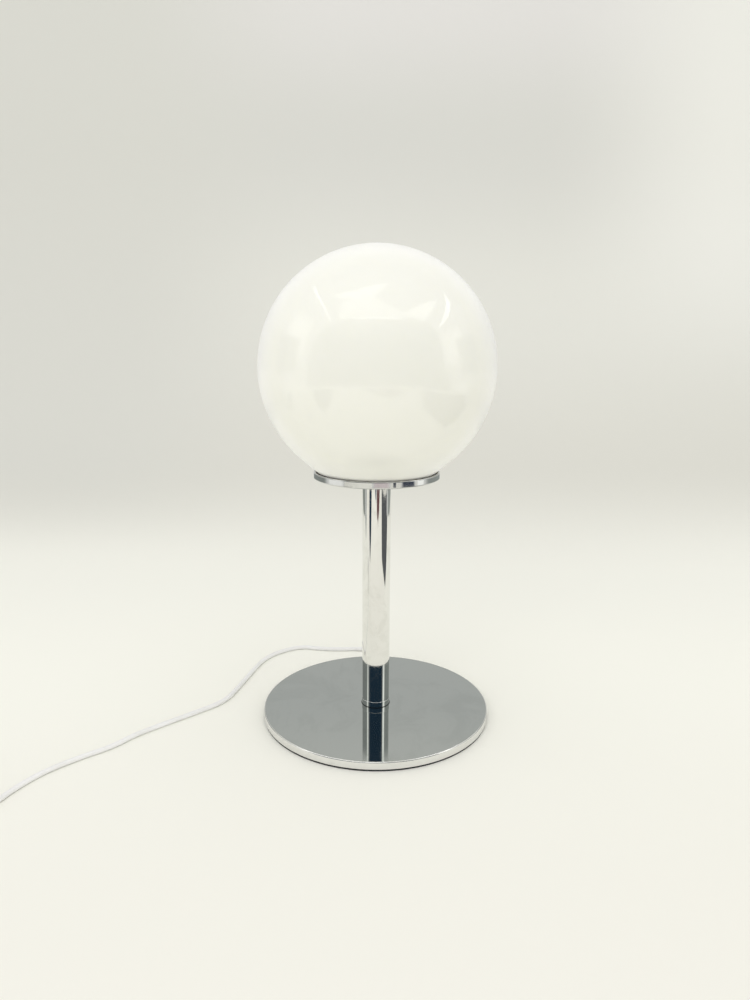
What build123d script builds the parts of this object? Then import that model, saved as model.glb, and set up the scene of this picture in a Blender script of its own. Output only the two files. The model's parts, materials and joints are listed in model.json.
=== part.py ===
from build123d import *

import os
from math import atan2, cos, hypot, pi, radians, sin, sqrt, tan

# Glass globe table lamp: an opal globe in a shallow chrome dish, on a chrome stem and a round weighted base, with a
# mains cord. Millimetres, +Z up. The origin is the middle of the base's underside, the front is towards -Y.

# ---- clearances ----
slip = 0.05          # radial, between round pieces that slide into each other
soft_gap = 0.3       # between a resting piece and its seat, where the two move apart
turn_gap = 0.5       # between turning or lifting pieces and what stands beside them

# ---- cord ----
cord_diameter = 5.2
core_diameter = 1.9  # one insulated core
core_bend = 3.6
cord_above_floor = 0.05

# ---- base ----
base_radius = 128.0
pad_inset = 0.8
pad_thickness = 2.0
cover_height = 8.25
cover_wall = 1.2
cover_edge_radius = 1.2
cover_hem_radius = 0.4
weight_play = 0.6
web_thickness = 4.0  # iron left above the screw recess
recess_radius = 19.0
slot_play = 1.0      # each side of the cord in the weight's slot
bend_radius = 12.0   # of the inner cord's middle line, where it turns up into the stem
bend_room = 5.3      # of the holes round that bend, beyond the cord's own radius

# ---- cord bushing in the rim ----
bushing_wall = 0.7
bushing_lip = 0.6
bushing_lip_width = 1.2
bushing_outside = 5.0
bushing_inside = 17.0
bushing_tip_wall = 0.4
flange_width = 10.4
flange_length = 3.0

# ---- stem ----
tube_radius = 15.6
tube_wall = 1.5
tube_length = 257.6
collar_proud = 0.35
collar_height = 6.75
collar_edge = 0.4
spigot_height = 18.0
foot_screw_radius = 2.0
foot_screw_head_radius = 3.7
foot_screw_head_height = 2.4
foot_screw_reach = 9.0  # into the foot
foot_screw_angles = (-90, 30, 150)
head_length = 18.0

# ---- threaded nipple, dish and what clamps it ----
nipple_radius = 5.0
nipple_wall = 1.0
nipple_below_head = 2.0
nipple_into_holder = 8.0
dish_radius = 68.4
dish_height = 7.6
dish_wall = 1.3
dish_corner_radius = 1.6
dish_bead_height = 2.2  # of the rim, which is rolled inwards
washer_radius = 14.0
washer_thickness = 1.5
nut_across_flats = 17.0
nut_height = 4.0
gasket_floor = 1.2
gasket_inside_neck = 2.0  # how far its floor reaches in past the glass
gasket_lip_wall = 0.9   # where it fills the gap between the glass and the dish's rolled rim
gasket_lip_drop = 0.1   # its edge, under the rim

# ---- glass globe ----
globe_radius = 125.0
glass_wall = 3.0
neck_room = 4.6      # between the neck and the dish's wall
neck_height = 3.2    # of the straight neck, up to where the cone would meet it
shoulder_latitude = 49.3  # degrees below the equator where the ball runs out into a cone
neck_corner_radius = 5.0
neck_foot_round = 1.2
globe_lift = 170.0

# ---- lampholder ----
boss_radius = 9.0
boss_height = 5.0
cap_height = 20.0
cap_flare_height = 13.0
cap_wall = 2.0
cap_rim_radius = 16.5
holder_radius = 20.0
holder_wall = 2.2
holder_shell_height = 36.0
holder_lip = 2.0
holder_ribs = 24
rib_depth = 0.5
core_height = 10.0
socket_thread_wall = 0.5
socket_thread_height = 24.0
contact_width = 5.0
contact_thickness = 0.8
contact_rise = 1.6
terminal_offset = 9.0
terminal_screw_radius = 1.5
terminal_head_radius = 2.6
terminal_head_height = 1.6
sheath_into_holder = 10.0

# ---- bulb ----
bulb_cap_radius = 13.1
bulb_cap_wall = 0.4
bulb_cap_length = 19.6
insulator_length = 3.0
bulb_contact_radius = 4.5
bulb_contact_height = 1.5
housing_foot_radius = 13.6
housing_waist_radius = 16.0
housing_waist_height = 6.0
housing_height = 44.0
dome_radius = 30.0
dome_wall = 1.5
dome_rise = 8.0      # of the dome's middle above the housing
plate_radius = 24.0
plate_thickness = 1.6
thread_pitch = 3.629
thread_turns = 7

# ---- cord beyond the base: where its pieces lie ----
switch_x = -470.0
switch_y = -237.0
coil_x = -548.0
plug_start_x = -466.0
plug_y = -158.5

# ---- coil and tie ----
coil_outer_radius = 35.2
coil_pitch = 5.7
coil_half_turns = 5  # in each layer
tie_thickness = 0.6
tie_gap = 0.2
tie_width = 6.0
tie_corner_radius = 3.0

# ---- in-line switch ----
switch_length = 68.0
switch_width = 26.0
switch_end_width = 12.0
switch_shoulder = 40.0   # length of the full-width middle
switch_height = 18.0
switch_split = 8.0       # height of the joint, and of the cord's middle line
switch_edge_radius = 2.5
cavity_half_length = 17.0
cavity_floor = 2.5
rocker_half_length = 10.5
rocker_half_width = 6.2
rocker_end_height = 5.0
rocker_mid_height = 3.5
rocker_keel = 2.5
rocker_keel_half_length = 6.0
rocker_tilt = 8.0        # degrees each way from level
rocker_pivot_height = 14.2
rocker_play = 0.4
pivot_radius = 1.5
pivot_reach = 2.0
switch_screw_radius = 1.4
switch_screw_head_radius = 2.6
switch_screw_head_height = 2.0
switch_screw_x = 25.0
switch_screw_reach = 5.0
switch_contact_length = 5.0
switch_contact_width = 8.0
switch_contact_height = 7.0
switch_contact_x = 8.0

# ---- plug ----
relief_length = 20.0
relief_tip_radius = 3.4
relief_foot_radius = 5.2
relief_ribs = 5
relief_groove_depth = 0.8
relief_groove_width = 1.6
plug_length = 36.0
plug_width = 35.3
plug_height = 13.7
plug_neck_width = 14.0
plug_neck_height = 11.0
plug_shoulder = 14.0
pin_spacing = 18.0
pin_radius = 2.0
pin_core_radius = 1.5
pin_sleeve_radius = 2.0
pin_length = 19.0
sleeve_length = 10.0

# ---- heights, worked out from the surface up ----
cord_radius = cord_diameter / 2
floor_line = cord_radius + cord_above_floor
cover_top = pad_thickness + cover_height
cover_inside = cover_top - cover_wall
recess_top = cover_inside - web_thickness
exit_height = (pad_thickness + cover_inside) / 2
exit_y = base_radius + bushing_outside
collar_top = cover_top + collar_height
tube_inside = tube_radius - tube_wall
bend_hole_radius = cord_radius + bend_room
screw_circle = (bend_hole_radius + tube_inside) / 2
dish_bottom = collar_top + tube_length
dish_floor = dish_bottom + dish_wall
dish_rim = dish_bottom + dish_height
nut_bottom = dish_floor + washer_thickness
holder_bottom = nut_bottom + nut_height
core_bottom = holder_bottom + cap_height
core_top = core_bottom + core_height
holder_rim = core_bottom + holder_shell_height
bulb_foot = core_top + contact_thickness + contact_rise + soft_gap
bulb_insulator_foot = bulb_foot + bulb_contact_height
bulb_cap_foot = bulb_insulator_foot + insulator_length
housing_foot = max(bulb_cap_foot + bulb_cap_length, holder_rim + turn_gap)
housing_top = housing_foot + housing_height
dish_inside = dish_radius - dish_wall
neck_radius = dish_inside - neck_room
glass_foot = dish_floor + gasket_floor + soft_gap
shoulder_radius = globe_radius * cos(radians(shoulder_latitude))
shoulder_drop = globe_radius * sin(radians(shoulder_latitude))
cone_slope = tan(radians(shoulder_latitude))
globe_centre = glass_foot + neck_height + (shoulder_radius - neck_radius) / cone_slope + shoulder_drop
glass_at_rim = neck_radius + (dish_rim - glass_foot - neck_height) * cone_slope
dish_bead_inside = min(glass_at_rim + turn_gap + gasket_lip_wall + slip, dish_inside - 2 * slip)
dish_bead_bottom = dish_rim - dish_bead_height
coil_floor = tie_thickness + tie_gap + cord_radius
coil_top = coil_floor + coil_pitch
coil_y = switch_y + coil_outer_radius
plug_axis_height = plug_height / 2

# The cord's route from the bushing to the in-line switch, chosen by hand along the line that it lies on.
run_route = [
    (0, exit_y, exit_height),
    (0, exit_y + 12.5, exit_height),
    (-5.1, exit_y + 23.9, 4.6),
    (-14.4, exit_y + 32.3, 3.4),
    (-26.3, exit_y + 36.1, floor_line),
    (-46, exit_y + 34, floor_line),
    (-74, exit_y + 35, floor_line),
    (-104, exit_y + 43, floor_line),
    (-132, 157, floor_line),
    (-150, 132, floor_line),
    (-160, 90, floor_line),
    (-169, 48, floor_line),
    (-178, 13, floor_line),
    (-206, -13.5, floor_line),
    (-237, -42, floor_line),
    (-261, -65, floor_line),
    (-275, -87, floor_line),
    (-303, -109.5, floor_line),
    (-328, -135.5, floor_line),
    (-343, -163, floor_line),
    (-352, -190, floor_line),
    (-369, -215, floor_line),
    (-392, -231, floor_line + 1.2),
    (-414, switch_y, switch_split),
    (switch_x + switch_length / 2, switch_y, switch_split),
]


def outline(corners, rounds=()):
    """A closed face through (across, up) corners. rounds holds (corner's number, radius) pairs."""
    face = make_face(Polyline(*corners, close=True)).face()
    for number, radius in rounds:
        corner = face.vertices().sort_by_distance(corners[number])[0]
        face = face.fillet_2d(radius, [corner])
    return face


def turned(corners, rounds=()):
    """A piece turned about the lamp's axis from (radius, height) corners."""
    return revolve(Plane.XZ * outline(corners, rounds), Axis.Z)


def rod(radius, bottom, top, x=0.0, y=0.0):
    """An upright round bar, or the hole for one."""
    return Pos(x, y, bottom) * extrude(Circle(radius), top - bottom)


def block(low, high):
    """A box between two corners."""
    size = [b - a for a, b in zip(low, high)]
    middle = [(a + b) / 2 for a, b in zip(low, high)]
    return Pos(*middle) * Box(*size)


def around(angles, radius):
    """(x, y) places on a circle about the lamp's axis."""
    return [(radius * cos(radians(a)), radius * sin(radians(a))) for a in angles]


# ---- base ----


def base_pad():
    return rod(base_radius - pad_inset, 0, pad_thickness)


def base_cover():
    inside = base_radius - cover_wall
    shell = turned(
        [
            (bend_hole_radius, cover_inside),
            (inside, cover_inside),
            (inside, pad_thickness),
            (base_radius, pad_thickness),
            (base_radius, cover_top),
            (bend_hole_radius, cover_top),
        ],
        [(3, cover_hem_radius), (4, cover_edge_radius)],
    )
    notch_radius = cord_radius + bushing_wall + slip
    notch = Pos(0, inside - 1, exit_height) * Rot(-90, 0, 0) * extrude(Circle(notch_radius), cover_wall + 2)
    notch += block((-notch_radius, inside - 1, pad_thickness - 1), (notch_radius, base_radius + 1, exit_height))
    holes = [rod(foot_screw_radius + slip, cover_inside, cover_top, x, y)
             for x, y in around(foot_screw_angles, screw_circle)]
    return shell - notch - holes


def base_weight():
    outside = base_radius - cover_wall - weight_play
    iron = rod(outside, pad_thickness, cover_inside) - rod(bend_hole_radius, pad_thickness, cover_inside)
    iron -= rod(recess_radius, pad_thickness, recess_top)
    half_slot = cord_radius + slot_play
    iron -= block((-half_slot, 0, pad_thickness), (half_slot, outside, cover_inside))
    half_pocket = flange_width / 2 + slip
    pocket_start = base_radius - cover_wall - flange_length - soft_gap
    iron -= block((-half_pocket, pocket_start, pad_thickness), (half_pocket, outside, cover_inside))
    holes = [rod(foot_screw_radius + slip, recess_top, cover_inside, x, y)
             for x, y in around(foot_screw_angles, screw_circle)]
    return iron - holes


def foot_screws():
    """Three pan-head screws with crossed drives, up through the weight and the cover into the stem's foot."""
    head_bottom = recess_top - foot_screw_head_height
    slot = foot_screw_head_radius / 4
    screws = []
    for x, y in around(foot_screw_angles, screw_circle):
        screw = rod(foot_screw_head_radius, head_bottom, recess_top, x, y)
        screw += rod(foot_screw_radius, recess_top, cover_top + foot_screw_reach, x, y)
        reach = foot_screw_head_radius * 0.6
        drive_top = head_bottom + foot_screw_head_height / 2
        screw -= block((x - reach, y - slot / 2, head_bottom), (x + reach, y + slot / 2, drive_top))
        screw -= block((x - slot / 2, y - reach, head_bottom), (x + slot / 2, y + reach, drive_top))
        screws.append(screw)
    return screws


def cord_bushing():
    """Moulded bushing: a square flange behind the rim, a neck in the rim's notch, a lip and a taper outside."""
    skirt_inside = base_radius - cover_wall
    neck = cord_radius + bushing_wall
    lip = neck + bushing_lip
    tip = cord_radius + bushing_tip_wall
    bore = cord_radius + slip
    start = skirt_inside - flange_length - bushing_inside
    sleeve = revolve(
        outline(
            [
                (bore, start),
                (tip, start),
                (neck, skirt_inside - flange_length),
                (neck, base_radius + slip),
                (lip, base_radius + slip),
                (lip, base_radius + bushing_lip_width),
                (tip, exit_y),
                (bore, exit_y),
            ]
        ),
        Axis.Y,
    )
    half_height = (cover_inside - pad_thickness) / 2 - slip
    flange_face = sqrt(skirt_inside**2 - (flange_width / 2) ** 2) - slip
    flange = block(
        (-flange_width / 2, flange_face - flange_length, -half_height),
        (flange_width / 2, flange_face, half_height),
    )
    flange -= Pos(0, start, 0) * Rot(-90, 0, 0) * extrude(Circle(bore), exit_y - start)
    return Pos(0, 0, exit_height) * (sleeve + flange)


# ---- stem ----


def stem_foot():
    """The collar that shows at the stem's foot, and the spigot that it sends up into the tube."""
    collar = tube_radius + collar_proud
    spigot = tube_inside - slip
    foot = turned(
        [
            (bend_hole_radius, cover_top),
            (collar, cover_top),
            (collar, collar_top),
            (spigot, collar_top),
            (spigot, collar_top + spigot_height),
            (bend_hole_radius, collar_top + spigot_height),
        ],
        [(1, collar_edge), (2, collar_edge)],
    )
    holes = [rod(foot_screw_radius + slip, cover_top, cover_top + foot_screw_reach + slip, x, y)
             for x, y in around(foot_screw_angles, screw_circle)]
    return foot - holes


def stem_tube():
    return rod(tube_radius, collar_top, dish_bottom) - rod(tube_inside, collar_top, dish_bottom)


def stem_head():
    bottom = dish_bottom - head_length
    return rod(tube_inside - slip, bottom, dish_bottom) - rod(nipple_radius + slip, bottom, dish_bottom)


def nipple():
    bottom = dish_bottom - head_length - nipple_below_head
    top = holder_bottom + nipple_into_holder
    return rod(nipple_radius, bottom, top) - rod(nipple_radius - nipple_wall, bottom, top)


# ---- dish ----


def dish():
    hole = nipple_radius + 2 * slip
    bead_step = dish_inside - dish_bead_inside
    rim_round = 0.45 * min(dish_radius - dish_bead_inside, dish_bead_height)
    return turned(
        [
            (hole, dish_bottom),
            (dish_radius, dish_bottom),
            (dish_radius, dish_rim),
            (dish_bead_inside, dish_rim),
            (dish_bead_inside, dish_bead_bottom),
            (dish_inside, dish_bead_bottom),
            (dish_inside, dish_floor),
            (hole, dish_floor),
        ],
        [
            (1, dish_corner_radius),
            (2, rim_round),
            (3, rim_round),
            (4, min(rim_round, 0.6 * bead_step)),
            (6, max(dish_corner_radius - dish_wall, 0.2)),
        ],
    )


def glass_radius_at(height):
    """The glass's outer radius on its cone, between the ball and the neck."""
    return shoulder_radius - (globe_centre - shoulder_drop - height) * cone_slope


def dish_gasket():
    """Dark seat ring under and around the glass's neck. Its lip fills the gap inside the dish's rolled rim."""
    outside = dish_inside - slip
    inside = neck_radius - glass_wall - gasket_inside_neck
    lip_outside = dish_bead_inside - slip
    lip_top = dish_rim - gasket_lip_drop
    lip_inside = glass_radius_at(lip_top) + turn_gap
    floor_top = dish_floor + gasket_floor
    return turned(
        [
            (inside, dish_floor),
            (outside - dish_corner_radius, dish_floor),
            (outside, dish_floor + dish_corner_radius),
            (outside, dish_bead_bottom - slip),
            (lip_outside, dish_bead_bottom - slip),
            (lip_outside, lip_top),
            (lip_inside, lip_top),
            (lip_inside, floor_top),
            (inside, floor_top),
        ]
    )


def dish_washer():
    return rod(washer_radius, dish_floor, nut_bottom) - rod(nipple_radius + slip, dish_floor, nut_bottom)


def dish_nut():
    across_corners = nut_across_flats / sqrt(3)
    hexagon = RegularPolygon(across_corners, 6)
    nut = Pos(0, 0, nut_bottom) * extrude(hexagon, nut_height)
    return nut - rod(nipple_radius + slip, nut_bottom, holder_bottom)


# ---- glass ----


def glass_line(inset):
    """(radius, height) corners of the glass at a depth under its outside: neck's foot, neck's corner, shoulder."""
    latitude = radians(shoulder_latitude)
    neck = neck_radius - inset
    shoulder = (shoulder_radius - inset * cos(latitude), globe_centre - shoulder_drop + inset * sin(latitude))
    corner = (neck, shoulder[1] - (shoulder[0] - neck) / cone_slope)
    return (neck, glass_foot), corner, shoulder


def glass_side(inset):
    """A solid of revolution inside the glass's surface at a depth under its outside."""
    foot, corner, shoulder = glass_line(inset)
    ball = globe_radius - inset
    crown = (0, globe_centre + ball)
    equator = (ball, globe_centre)
    neck_round = neck_corner_radius + inset
    line = FilletPolyline(foot, corner, shoulder, radius=neck_round)
    line += ThreePointArc(shoulder, equator, crown)
    line += Line(crown, (0, glass_foot))
    line += Line((0, glass_foot), foot)
    return revolve(Plane.XZ * make_face(line.edges()), Axis.Z)


def glass_globe():
    glass = glass_side(0) - glass_side(glass_wall)
    foot_edges = glass.edges().filter_by(GeomType.CIRCLE).filter_by(lambda e: abs(e.center().Z - glass_foot) < 0.01)
    return fillet(foot_edges, min(neck_foot_round, 0.45 * glass_wall))


# ---- lampholder ----


def holder_cap():
    """Lower cap of the lampholder, screwed onto the nipple."""
    bore = nipple_radius + slip
    inner_boss = nipple_radius + cap_wall
    return turned(
        [
            (bore, holder_bottom),
            (boss_radius, holder_bottom),
            (boss_radius, holder_bottom + boss_height),
            (holder_radius, holder_bottom + cap_flare_height),
            (holder_radius, core_bottom),
            (cap_rim_radius, core_bottom),
            (cap_rim_radius, holder_bottom + cap_flare_height + cap_wall),
            (inner_boss, holder_bottom + nipple_into_holder),
            (bore, holder_bottom + nipple_into_holder),
        ],
        [(1, 1.0), (2, 3.0), (3, 3.0)],
    )


def holder_shell():
    """Outer shell of the lampholder, ribbed for the fingers, with a lip above the screw shell."""
    inside = holder_radius - holder_wall
    mouth = bulb_cap_radius + 2 * turn_gap
    shell = turned(
        [
            (inside, core_bottom),
            (holder_radius, core_bottom),
            (holder_radius, holder_rim),
            (mouth, holder_rim),
            (mouth, holder_rim - holder_lip),
            (inside, holder_rim - holder_lip),
        ],
        [(2, 1.0)],
    )
    rib_bottom = core_bottom + 3
    rib_top = holder_rim - 6
    step = 360 / holder_ribs
    grooves = [rod(rib_depth, rib_bottom, rib_top, x, y)
               for x, y in around([i * step for i in range(holder_ribs)], holder_radius)]
    return shell - grooves


def holder_core():
    """Insulating insert: carries the contacts above and the terminal screws below."""
    core = rod(holder_radius - holder_wall - 4 * slip, core_bottom, core_top)
    for side in (-1, 1):
        core -= rod(terminal_screw_radius + slip, core_bottom, core_bottom + core_height / 2, side * terminal_offset)
    return core


def socket_thread():
    outside = bulb_cap_radius + soft_gap + socket_thread_wall
    bottom = core_top
    top = min(core_top + socket_thread_height, holder_rim - holder_lip)
    return rod(outside, bottom, top) - rod(outside - socket_thread_wall, bottom, top)


def socket_contact():
    """Centre tongue: a strip on the insert that rises to a bump under the bulb's contact."""
    half = contact_width / 2
    reach = bulb_cap_radius - 1
    strip = block((-reach, -half, core_top), (half, half, core_top + contact_thickness))
    bump_top = core_top + contact_thickness + contact_rise
    return strip + rod(half, core_top, bump_top)


def terminal_screws():
    screws = []
    for side in (-1, 1):
        x = side * terminal_offset
        head = rod(terminal_head_radius, core_bottom - terminal_head_height, core_bottom, x)
        head -= block(
            (x - terminal_head_radius, -0.3, core_bottom - terminal_head_height),
            (x + terminal_head_radius, 0.3, core_bottom - terminal_head_height / 2),
        )
        screws.append(head + rod(terminal_screw_radius, core_bottom, core_bottom + core_height / 2 - slip, x))
    return screws


# ---- bulb ----


def bulb_contact():
    return rod(bulb_contact_radius, bulb_foot, bulb_insulator_foot)


def bulb_insulator():
    cap_inside = bulb_cap_radius - bulb_cap_wall
    return turned(
        [
            (0, bulb_insulator_foot),
            (bulb_contact_radius, bulb_insulator_foot),
            (cap_inside - 1, bulb_cap_foot),
            (0, bulb_cap_foot),
        ]
    )


def bulb_cap():
    """Screw cap with its closed foot, over the housing's stub."""
    return turned(
        [
            (0, bulb_cap_foot),
            (bulb_cap_radius, bulb_cap_foot),
            (bulb_cap_radius, housing_foot),
            (bulb_cap_radius - bulb_cap_wall, housing_foot),
            (bulb_cap_radius - bulb_cap_wall, bulb_cap_foot + bulb_cap_wall),
            (0, bulb_cap_foot + bulb_cap_wall),
        ],
        [(1, 1.5)],
    )


def bulb_housing():
    """Flared body between cap and dome, with a stub inside the cap."""
    stub = bulb_cap_radius - bulb_cap_wall - slip
    stub_foot = housing_foot - bulb_cap_length / 2
    rim = sqrt(dome_radius**2 - dome_rise**2)
    return turned(
        [
            (0, stub_foot),
            (stub, stub_foot),
            (stub, housing_foot),
            (housing_foot_radius, housing_foot),
            (housing_waist_radius, housing_foot + housing_waist_height),
            (rim, housing_top),
            (0, housing_top),
        ],
        [(4, 12.0)],
    )


def bulb_plate():
    """Light plate: an aluminium disc with a ring of small light chips."""
    chips_top = housing_top + plate_thickness + 0.6
    plate = rod(plate_radius, housing_top, housing_top + plate_thickness)
    for x, y in around(range(0, 360, 30), plate_radius * 0.7):
        plate += block((x - 1.4, y - 1.4, housing_top), (x + 1.4, y + 1.4, chips_top))
    return plate


def bulb_dome():
    middle = housing_top + dome_rise
    ball = Pos(0, 0, middle) * (Sphere(dome_radius) - Sphere(dome_radius - dome_wall))
    return ball - rod(dome_radius + 1, middle - dome_radius - 1, housing_top)


# ---- cord ----


def route_radii(points):
    """Each corner's radius: as large as its two runs allow."""
    radii = []
    for before, corner, after in zip(points, points[1:], points[2:]):
        arriving = Vector(*corner) - Vector(*before)
        leaving = Vector(*after) - Vector(*corner)
        turn = radians(arriving.get_angle(leaving))
        radii.append(0.45 * min(arriving.length, leaving.length) / tan(turn / 2))
    return radii


def tube_along(path, diameter):
    start = Plane(origin=path @ 0, z_dir=path % 0)
    return sweep(start * Circle(diameter / 2), path)


def report_tube(name, tube, path, diameter):
    expected = pi * diameter**2 / 4 * path.length
    print(f"{name}: length {path.length:.1f} mm, volume {tube.volume:.1f} against {expected:.1f} mm3")


def cord_stretch(name, points, diameter=cord_diameter):
    """A free stretch of cord: straight runs joined by tangent arcs."""
    radii = route_radii(points)
    path = FilletPolyline(*points, radius=radii)
    tube = tube_along(path, diameter)
    report_tube(name, tube, path, diameter)
    print(f"{name}: radii in diameters", [round(r / diameter, 1) for r in radii])
    return tube


def inner_cord():
    """The cord inside the lamp: along the weight's slot, up through foot, tube and nipple, into the lampholder."""
    top = holder_bottom + sheath_into_holder
    points = [(0, exit_y, exit_height), (0, 0, exit_height), (0, 0, top)]
    path = FilletPolyline(*points, radius=[bend_radius])
    tube = tube_along(path, cord_diameter)
    report_tube("inner_cord", tube, path, cord_diameter)
    return tube


def core_wire(side):
    """One core, from the sheath's end out to its terminal screw."""
    bottom = holder_bottom + sheath_into_holder
    top = core_bottom - terminal_head_height
    middle = (bottom + top) / 2
    near = side * (core_diameter / 2 + slip)
    far = side * terminal_offset
    path = FilletPolyline((near, 0, bottom), (near, 0, middle), (far, 0, middle), (far, 0, top), radius=core_bend)
    return tube_along(path, core_diameter)


def live_wire():
    return core_wire(1)


def neutral_wire():
    return core_wire(-1)


def coil_edges():
    """Half turns of an even spiral: inwards on the bottom layer, one climbing half turn, outwards on the top."""
    step = coil_pitch / 2
    bottom_radii = [coil_outer_radius - i * step for i in range(coil_half_turns)]
    climb_radius = coil_outer_radius - coil_half_turns * step
    radii = bottom_radii + [climb_radius] + bottom_radii[::-1]
    point = Vector(coil_x, switch_y, coil_floor)
    edges = [Line(point + Vector(cord_diameter, 0, 0), point)]
    north = 1
    for number, radius in enumerate(radii):
        climb = coil_pitch if number == coil_half_turns else 0
        end = point + Vector(0, north * 2 * radius, climb)
        middle = (point + end) / 2 - Vector(north * hypot(radius, climb / 2), 0, 0)
        edges.append(ThreePointArc(point, middle, end))
        point = end
        north = -north
    edges.append(Line(point, point + Vector(cord_diameter, 0, 0)))
    return edges


def coil_exit():
    """Where the coil's top layer lets the tail go."""
    return coil_edges()[-1] @ 1


def least_gap(path, diameter, step=1.5):
    """The smallest gap between stretches of a path that lie more than three diameters apart along it."""
    count = int(path.length / step)
    points = [path @ (i / count) for i in range(count + 1)]
    skip = int(3 * diameter * pi / 2 / step)
    nearest = min(
        (points[i] - points[j]).length for i in range(len(points)) for j in range(i + skip, len(points))
    )
    return nearest - diameter


def cord_coil():
    """The put-away length, wound in two layers as one unbroken tube."""
    path = Wire(coil_edges())
    tube = tube_along(path, cord_diameter)
    report_tube("cord_coil", tube, path, cord_diameter)
    print(f"cord_coil: least gap to itself {least_gap(path, cord_diameter):.2f} mm")
    return tube


def cord_run():
    return cord_stretch("cord_run", run_route)


def cord_link():
    """From the in-line switch to the coil."""
    start = switch_x - switch_length / 2
    end = coil_x + cord_diameter
    route = [
        (start, switch_y, switch_split),
        (start - 10, switch_y, switch_split),
        (end + 10, switch_y, coil_floor),
        (end, switch_y, coil_floor),
    ]
    return cord_stretch("cord_link", route)


def cord_tail():
    """From the coil's top layer down to the surface and into the plug."""
    start = coil_exit()
    route = [
        (start.X, start.Y, start.Z),
        (start.X + 12, start.Y, start.Z),
        (start.X + 30, start.Y - 2.5, floor_line + 1.5),
        (start.X + 47, start.Y - 1, floor_line + 1),
        (plug_start_x - 12, plug_y, plug_axis_height),
        (plug_start_x, plug_y, plug_axis_height),
    ]
    return cord_stretch("cord_tail", route)


def coil_tie():
    """A flat band round all the turns, on the side away from the lamp."""
    step = coil_pitch / 2
    inner_turn = coil_outer_radius - (coil_half_turns - 1) * step
    inner_reach = sqrt(inner_turn**2 - (step + tie_width / 2) ** 2)
    middle_x = coil_x - (coil_outer_radius + inner_reach) / 2
    middle_z = (coil_floor + coil_top) / 2
    width = coil_outer_radius - inner_reach + cord_diameter + 2 * tie_gap
    height = coil_top - coil_floor + cord_diameter + 2 * tie_gap
    outside = RectangleRounded(width + 2 * tie_thickness, height + 2 * tie_thickness, tie_corner_radius)
    inside = RectangleRounded(width, height, tie_corner_radius - tie_thickness)
    band = extrude(Plane.XZ * (outside - inside), tie_width / 2, both=True)
    return Pos(middle_x, coil_y + step, middle_z) * band


# ---- in-line switch: built about its own middle, on the surface, with the cord along X ----


def place_switch(piece):
    return Pos(switch_x, switch_y, 0) * piece


def switch_half(bottom, top, edge_height):
    """One half of the housing, its outer edge rounded at the given height."""
    end = switch_length / 2
    side = switch_width / 2
    tip = switch_end_width / 2
    shoulder = switch_shoulder / 2
    corners = [(end, -tip), (end, tip), (shoulder, side), (-shoulder, side),
               (-end, tip), (-end, -tip), (-shoulder, -side), (shoulder, -side)]
    rounds = [(2, 12.0), (3, 12.0), (6, 12.0), (7, 12.0)]
    half = Pos(0, 0, bottom) * extrude(outline(corners, rounds), top - bottom)
    rim = half.edges().filter_by(lambda e: abs(e.bounding_box().min.Z - edge_height) < 0.01
                                 and abs(e.bounding_box().max.Z - edge_height) < 0.01)
    return fillet(rim, switch_edge_radius)


def window_half_length():
    """The rocker's farthest reach along the switch, at either limit, and its play."""
    corner = hypot(rocker_half_length, rocker_end_height)
    lowest = atan2(rocker_end_height, rocker_half_length) - radians(rocker_tilt)
    return corner * cos(lowest) + rocker_play


def switch_screw_holes(radius, bottom, top):
    return [rod(radius, bottom, top, side * switch_screw_x) for side in (-1, 1)]


def switch_base():
    half_width = rocker_half_width + rocker_play
    base = switch_half(0, switch_split, 0)
    base -= block((-cavity_half_length, -half_width, cavity_floor), (cavity_half_length, half_width, switch_split))
    base -= switch_screw_holes(switch_screw_head_radius + slip, 0, switch_screw_head_height)
    base -= switch_screw_holes(switch_screw_radius + slip, switch_screw_head_height, switch_split)
    return place_switch(base)


def switch_top():
    half_width = rocker_half_width + rocker_play
    window = window_half_length()
    cavity_top = rocker_pivot_height - rocker_keel
    top = switch_half(switch_split, switch_height, switch_height)
    top -= block((-cavity_half_length, -half_width, switch_split), (cavity_half_length, half_width, cavity_top))
    top -= block((-window, -half_width, switch_split), (window, half_width, switch_height))
    pivot_length = 2 * (rocker_half_width + pivot_reach + slip)
    pivot = Rot(90, 0, 0) * Cylinder(pivot_radius + slip, pivot_length)
    top -= Pos(0, 0, rocker_pivot_height) * pivot
    top -= switch_screw_holes(switch_screw_radius + slip, switch_split, switch_split + switch_screw_reach + slip)
    return place_switch(top)


def switch_rocker():
    """Two-way key on a cross pivot, its end towards the lamp pressed down."""
    profile = outline(
        [
            (-rocker_half_length, 0),
            (-rocker_keel_half_length, -rocker_keel),
            (rocker_keel_half_length, -rocker_keel),
            (rocker_half_length, 0),
            (rocker_half_length, rocker_end_height),
            (0, rocker_mid_height),
            (-rocker_half_length, rocker_end_height),
        ],
        [(4, 0.8), (6, 0.8)],
    )
    key = extrude(Plane.XZ * profile, rocker_half_width, both=True)
    key += Rot(90, 0, 0) * Cylinder(pivot_radius, 2 * (rocker_half_width + pivot_reach))
    return place_switch(Pos(0, 0, rocker_pivot_height) * Rot(0, rocker_tilt, 0) * key)


def switch_contacts():
    """Two brass posts in the housing, under the rocker's ends."""
    half = switch_contact_width / 2
    posts = []
    for side in (-1, 1):
        middle = side * (switch_contact_x + switch_contact_length / 2)
        low = (middle - switch_contact_length / 2, -half, cavity_floor)
        high = (middle + switch_contact_length / 2, half, cavity_floor + switch_contact_height)
        posts.append(place_switch(block(low, high)))
    return posts


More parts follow.
